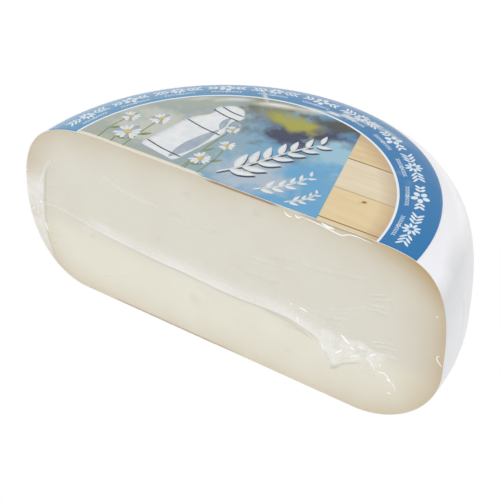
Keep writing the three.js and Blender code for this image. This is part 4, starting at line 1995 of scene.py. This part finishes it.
    def shadows(self) -> tuple[Crease, ...]:
        """The painted shadows: soft dark lines on the cut face under the film's creases and its pleat."""
        creases = [form for form in self.face_forms if isinstance(form, Crease)]
        shaded = [crease for crease in creases if crease.shade > 0.0]
        pleat = Crease(self.pleat, 0.0, 1.0, 0.6, 0.0, self.pleat_shade)
        return tuple(crease.shadow() for crease in (*shaded, pleat))

    def build(self) -> None:
        """Builds and dresses the film."""
        steps, grading = SectionSteps(30, 34, 44, 60), Grading.AT_FOLD
        shell = Shell(self.form, self.label, self.layers, steps, 230, 340, 46, 70, grading)
        piece = shell.build("film", self.around_look, self.face_look)
        finish_piece(piece, [FilmFinish("clear_film").material()], WHEEL_NODE)


@dataclass(frozen=True)
class Pinch:
    """A short ridge of pinched film on the cut face, in millimetres."""

    places: Places
    half_width: float


@dataclass
class PinchedFilm:
    """The short sharp ridges of the film, near-white as painted glints where they would catch the light.
    """

    film: FilmWrap
    sides: int = 8
    pinches: tuple[Pinch, ...] = (
        Pinch(((42.8, 48.6), (43.8, 48.2)), 0.45),
        Pinch(((47.9, 48.5), (50, 48.4), (52.7, 47.6)), 0.4),
        Pinch(((46.7, 42.4), (47.3, 41), (48.1, 39.5)), 0.45),
        Pinch(((71.4, 42.8), (73.6, 41.6), (76.8, 39.7)), 0.65),
        Pinch(((88, 37.6), (89.2, 39.6), (91, 40.4)), 0.45),
        Pinch(((76.6, 31.6), (79.6, 33.8), (82.6, 35.4)), 0.4),
        Pinch(((88, 36.2), (88.6, 33.4), (90.6, 29.9)), 0.35),
        Pinch(((91.8, 29.3), (94, 30.3), (96.2, 30.2), (98.7, 27.6)), 0.3),
        Pinch(((98.7, 27.6), (100.4, 26.2), (101.8, 24.2), (102.2, 22.5)), 0.2),
        Pinch(((97.6, 28.2), (99.3, 26.8)), 0.7),
        Pinch(((77, 38.4), (79.4, 37.6)), 0.5),
        Pinch(((69, 31), (71.4, 32.6), (73, 34.6)), 0.45),
        Pinch(((80.6, 39.4), (82, 40.6), (84.6, 41.2)), 0.4),
        Pinch(((92.6, 33.6), (93.6, 35.2)), 0.45),
        Pinch(((97.8, 19.2), (100.2, 20)), 0.26),
        Pinch(((118.3, 75.9), (119.1, 75.3)), 0.28),
        Pinch(((122.4, 54.3), (121.2, 53.7), (121.2, 51.7), (122.6, 50), (124, 48.6)), 0.27),
        Pinch(((-115.1, 46.9), (-113.4, 46.5)), 0.5),
        Pinch(((-120.3, 40.9), (-119.5, 40.3)), 0.45),
        Pinch(((-117.7, 39.2), (-116.9, 38.8)), 0.45),
        Pinch(((-112.9, 33.8), (-112.6, 30.6), (-111.9, 28)), 0.35),
        Pinch(((60.6, 33), (62.4, 30.8), (64, 28.2)), 0.35),
        Pinch(((37.7, 100.2), (39.8, 98.9), (42, 98.8)), 0.45),
        Pinch(((43.6, 100.9), (45, 99.8), (46.8, 100.8)), 0.45),
        Pinch(((57.5, 102), (61, 101.2), (64.6, 101.3)), 0.55),
        Pinch(
            (
                (46.2, 101.2), (56.9, 100.6), (64.8, 99.6), (68.5, 99.4), (72.4, 101.4),
                (77, 101.8), (84, 101.4),
            ),
            0.28,
        ),
    )

    def lines(self) -> bpy.types.Mesh:
        """The ridges' lines, each with its width at every point, on the film's face."""
        points, edges, widths = [], [], []
        for pinch in self.pinches:
            line = spline(pinch.places, 5 * len(pinch.places)) * MM
            lift = self.film.face_look(line[:, 0], line[:, 1], 0.0 * line[:, 0])[0]
            share = np.linspace(0.0, 1.0, len(line))
            taper = np.sqrt(np.maximum(np.sin(math.pi * share), 0.02))
            depth = self.film.form.cut_y - self.film.layers.cut - lift
            edges += [(len(points) + k, len(points) + k + 1) for k in range(len(line) - 1)]
            points += [(x, y, z) for (x, z), y in zip(line.tolist(), depth.tolist())]
            widths += (pinch.half_width * MM * taper).tolist()
        mesh = bpy.data.meshes.new("pinch_lines")
        mesh.from_pydata(points, edges, [])
        attribute = mesh.attributes.new("half_width", "FLOAT", "POINT")
        attribute.data.foreach_set("value", widths)
        return mesh

    def build(self, film: bpy.types.Material) -> None:
        """Builds and dresses the ridges.

        Args:
            film: Their material.
        """
        tree = GeometryTree("pinched_film", material=film, sides=self.sides)
        bench, given = tree.bench, tree.given
        curve = bench.out("GeometryNodeMeshToCurve", {0: given["Geometry"]})
        width = bench.out("GeometryNodeInputNamedAttribute", {"Name": "half_width"})
        ring = {"Resolution": given["sides"], "Radius": 1.0}
        section = bench.out("GeometryNodeCurvePrimitiveCircle", ring)
        sweep = {"Curve": curve, "Profile Curve": section, "Scale": width, "Fill Caps": True}
        tree.close(bench.out("GeometryNodeCurveToMesh", sweep))
        piece = tree.run("pinched_film", self.lines())
        finish_piece(piece)


@dataclass
class Studio:
    """A pale floor, soft light all round and the camera at the photograph's angle."""

    cut_y: float
    azimuth: float = math.radians(33.46)
    elevation: float = math.radians(36.62)
    roll: float = math.radians(0.70)
    distance: float = 675.4 * MM
    lens: float = 93.6
    sensor: float = 36.0
    clip_near: float = 0.01
    clip_far: float = 20.0
    floor_half: float = 4.0
    floor_level: float = -0.2 * MM
    lamp_target: tuple[float, float, float] = (0.0, 0.0, 0.05)
    aim: tuple[float, float, float] = (-4.75 * MM, 36.33 * MM, 38.18 * MM)
    room_light: float = 0.85
    lamps: tuple[tuple[str, tuple[float, float, float], float, float], ...] = (
        ("key", (-0.5, -1.3, 0.8), 0.9, 4.0),
        ("fill", (1.2, -0.4, 0.7), 0.7, 1.5),
    )

    def camera(self) -> None:
        """Sets up the camera; aim is measured from the middle of the cut's lower edge."""
        level_part = math.cos(self.elevation)
        back = Vector(
            (
                math.sin(self.azimuth) * level_part,
                -math.cos(self.azimuth) * level_part,
                math.sin(self.elevation),
            )
        )
        level = Vector((math.cos(self.azimuth), math.sin(self.azimuth), 0.0))
        upright = back.cross(level)
        right = level * math.cos(self.roll) + upright * math.sin(self.roll)
        up = upright * math.cos(self.roll) - level * math.sin(self.roll)
        target = Vector(self.aim) + Vector((0.0, self.cut_y, 0.0))
        lens = bpy.data.cameras.new("camera")
        lens.lens, lens.sensor_width = self.lens, self.sensor
        lens.clip_start, lens.clip_end = self.clip_near, self.clip_far
        camera = bpy.data.objects.new("camera", lens)
        frame = Matrix((right, up, back)).transposed().to_4x4()
        camera.matrix_world = Matrix.Translation(target + back * self.distance) @ frame
        bpy.context.scene.collection.objects.link(camera)
        bpy.context.scene.camera = camera

    def floor(self) -> None:
        """Lays the floor."""
        mesh = bpy.data.meshes.new("floor")
        half, level = self.floor_half, self.floor_level
        ways = ((-1, -1), (1, -1), (1, 1), (-1, 1))
        corners = [(half * across, half * deep, level) for across, deep in ways]
        mesh.from_pydata(corners, [], [(0, 1, 2, 3)])
        floor = link_object("floor", mesh)
        material, bench = new_material("pale_floor")
        bench.finish(bench.add("ShaderNodeEmission", {"Color": WHITE, "Strength": 1.0}))
        mesh.materials.append(material)

    def lamp(self, name: str, place: Sequence[float], size: float, power: float) -> None:
        """Hangs one soft square lamp that faces the cheese.

        Args:
            name: The lamp's name.
            place: Where it hangs.
            size: The length of its side.
            power: Its power in watts.
        """
        light = bpy.data.lights.new(name, "AREA")
        light.shape, light.size, light.energy = "SQUARE", size, power
        lamp = bpy.data.objects.new(name, light)
        aim = Vector(self.lamp_target) - Vector(place)
        frame = aim.to_track_quat("-Z", "Y").to_matrix().to_4x4()
        lamp.matrix_world = Matrix.Translation(Vector(place)) @ frame
        bpy.context.scene.collection.objects.link(lamp)

    def light(self) -> None:
        """Lights the scene."""
        world = bpy.data.worlds.new("white_room")
        world.use_nodes = True
        room = world.node_tree.nodes["Background"]
        room.inputs["Color"].default_value = WHITE
        room.inputs["Strength"].default_value = self.room_light
        bpy.context.scene.world = world
        for name, place, size, power in self.lamps:
            self.lamp(name, place, size, power)
        bpy.context.scene.view_settings.view_transform = "Standard"

    def build(self) -> None:
        """Builds the whole studio."""
        self.camera()
        self.floor()
        self.light()


def main() -> None:
    """Builds the scene."""
    logging.basicConfig(level=logging.INFO, format="%(name)s: %(message)s")
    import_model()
    form = WheelForm.from_frame(fold_rise=1.8 * MM)
    Studio(form.cut_y).build()
    label = Label(form)
    paper = label.build()
    LabelPicture(form, label.face_level).build()
    white = InkFinish("band_white", srgb(236, 243, 248), srgb(214, 230, 242)).material()
    for ornament in band_ornaments(label.band_centre_y):
        ornament.build(paper, white)
    film = FilmWrap(form, label)
    Cheese(form, label, film.shadows()).build()
    film.build()
    # The ridges' near-white finish is a painted glint on the film's sharp creases.
    sparkle = FilmFinish("pinched_film", base_milk=0.85, milk=srgb(253, 252, 249)).material()
    PinchedFilm(film).build(sparkle)


if __name__ == "__main__":
    main()
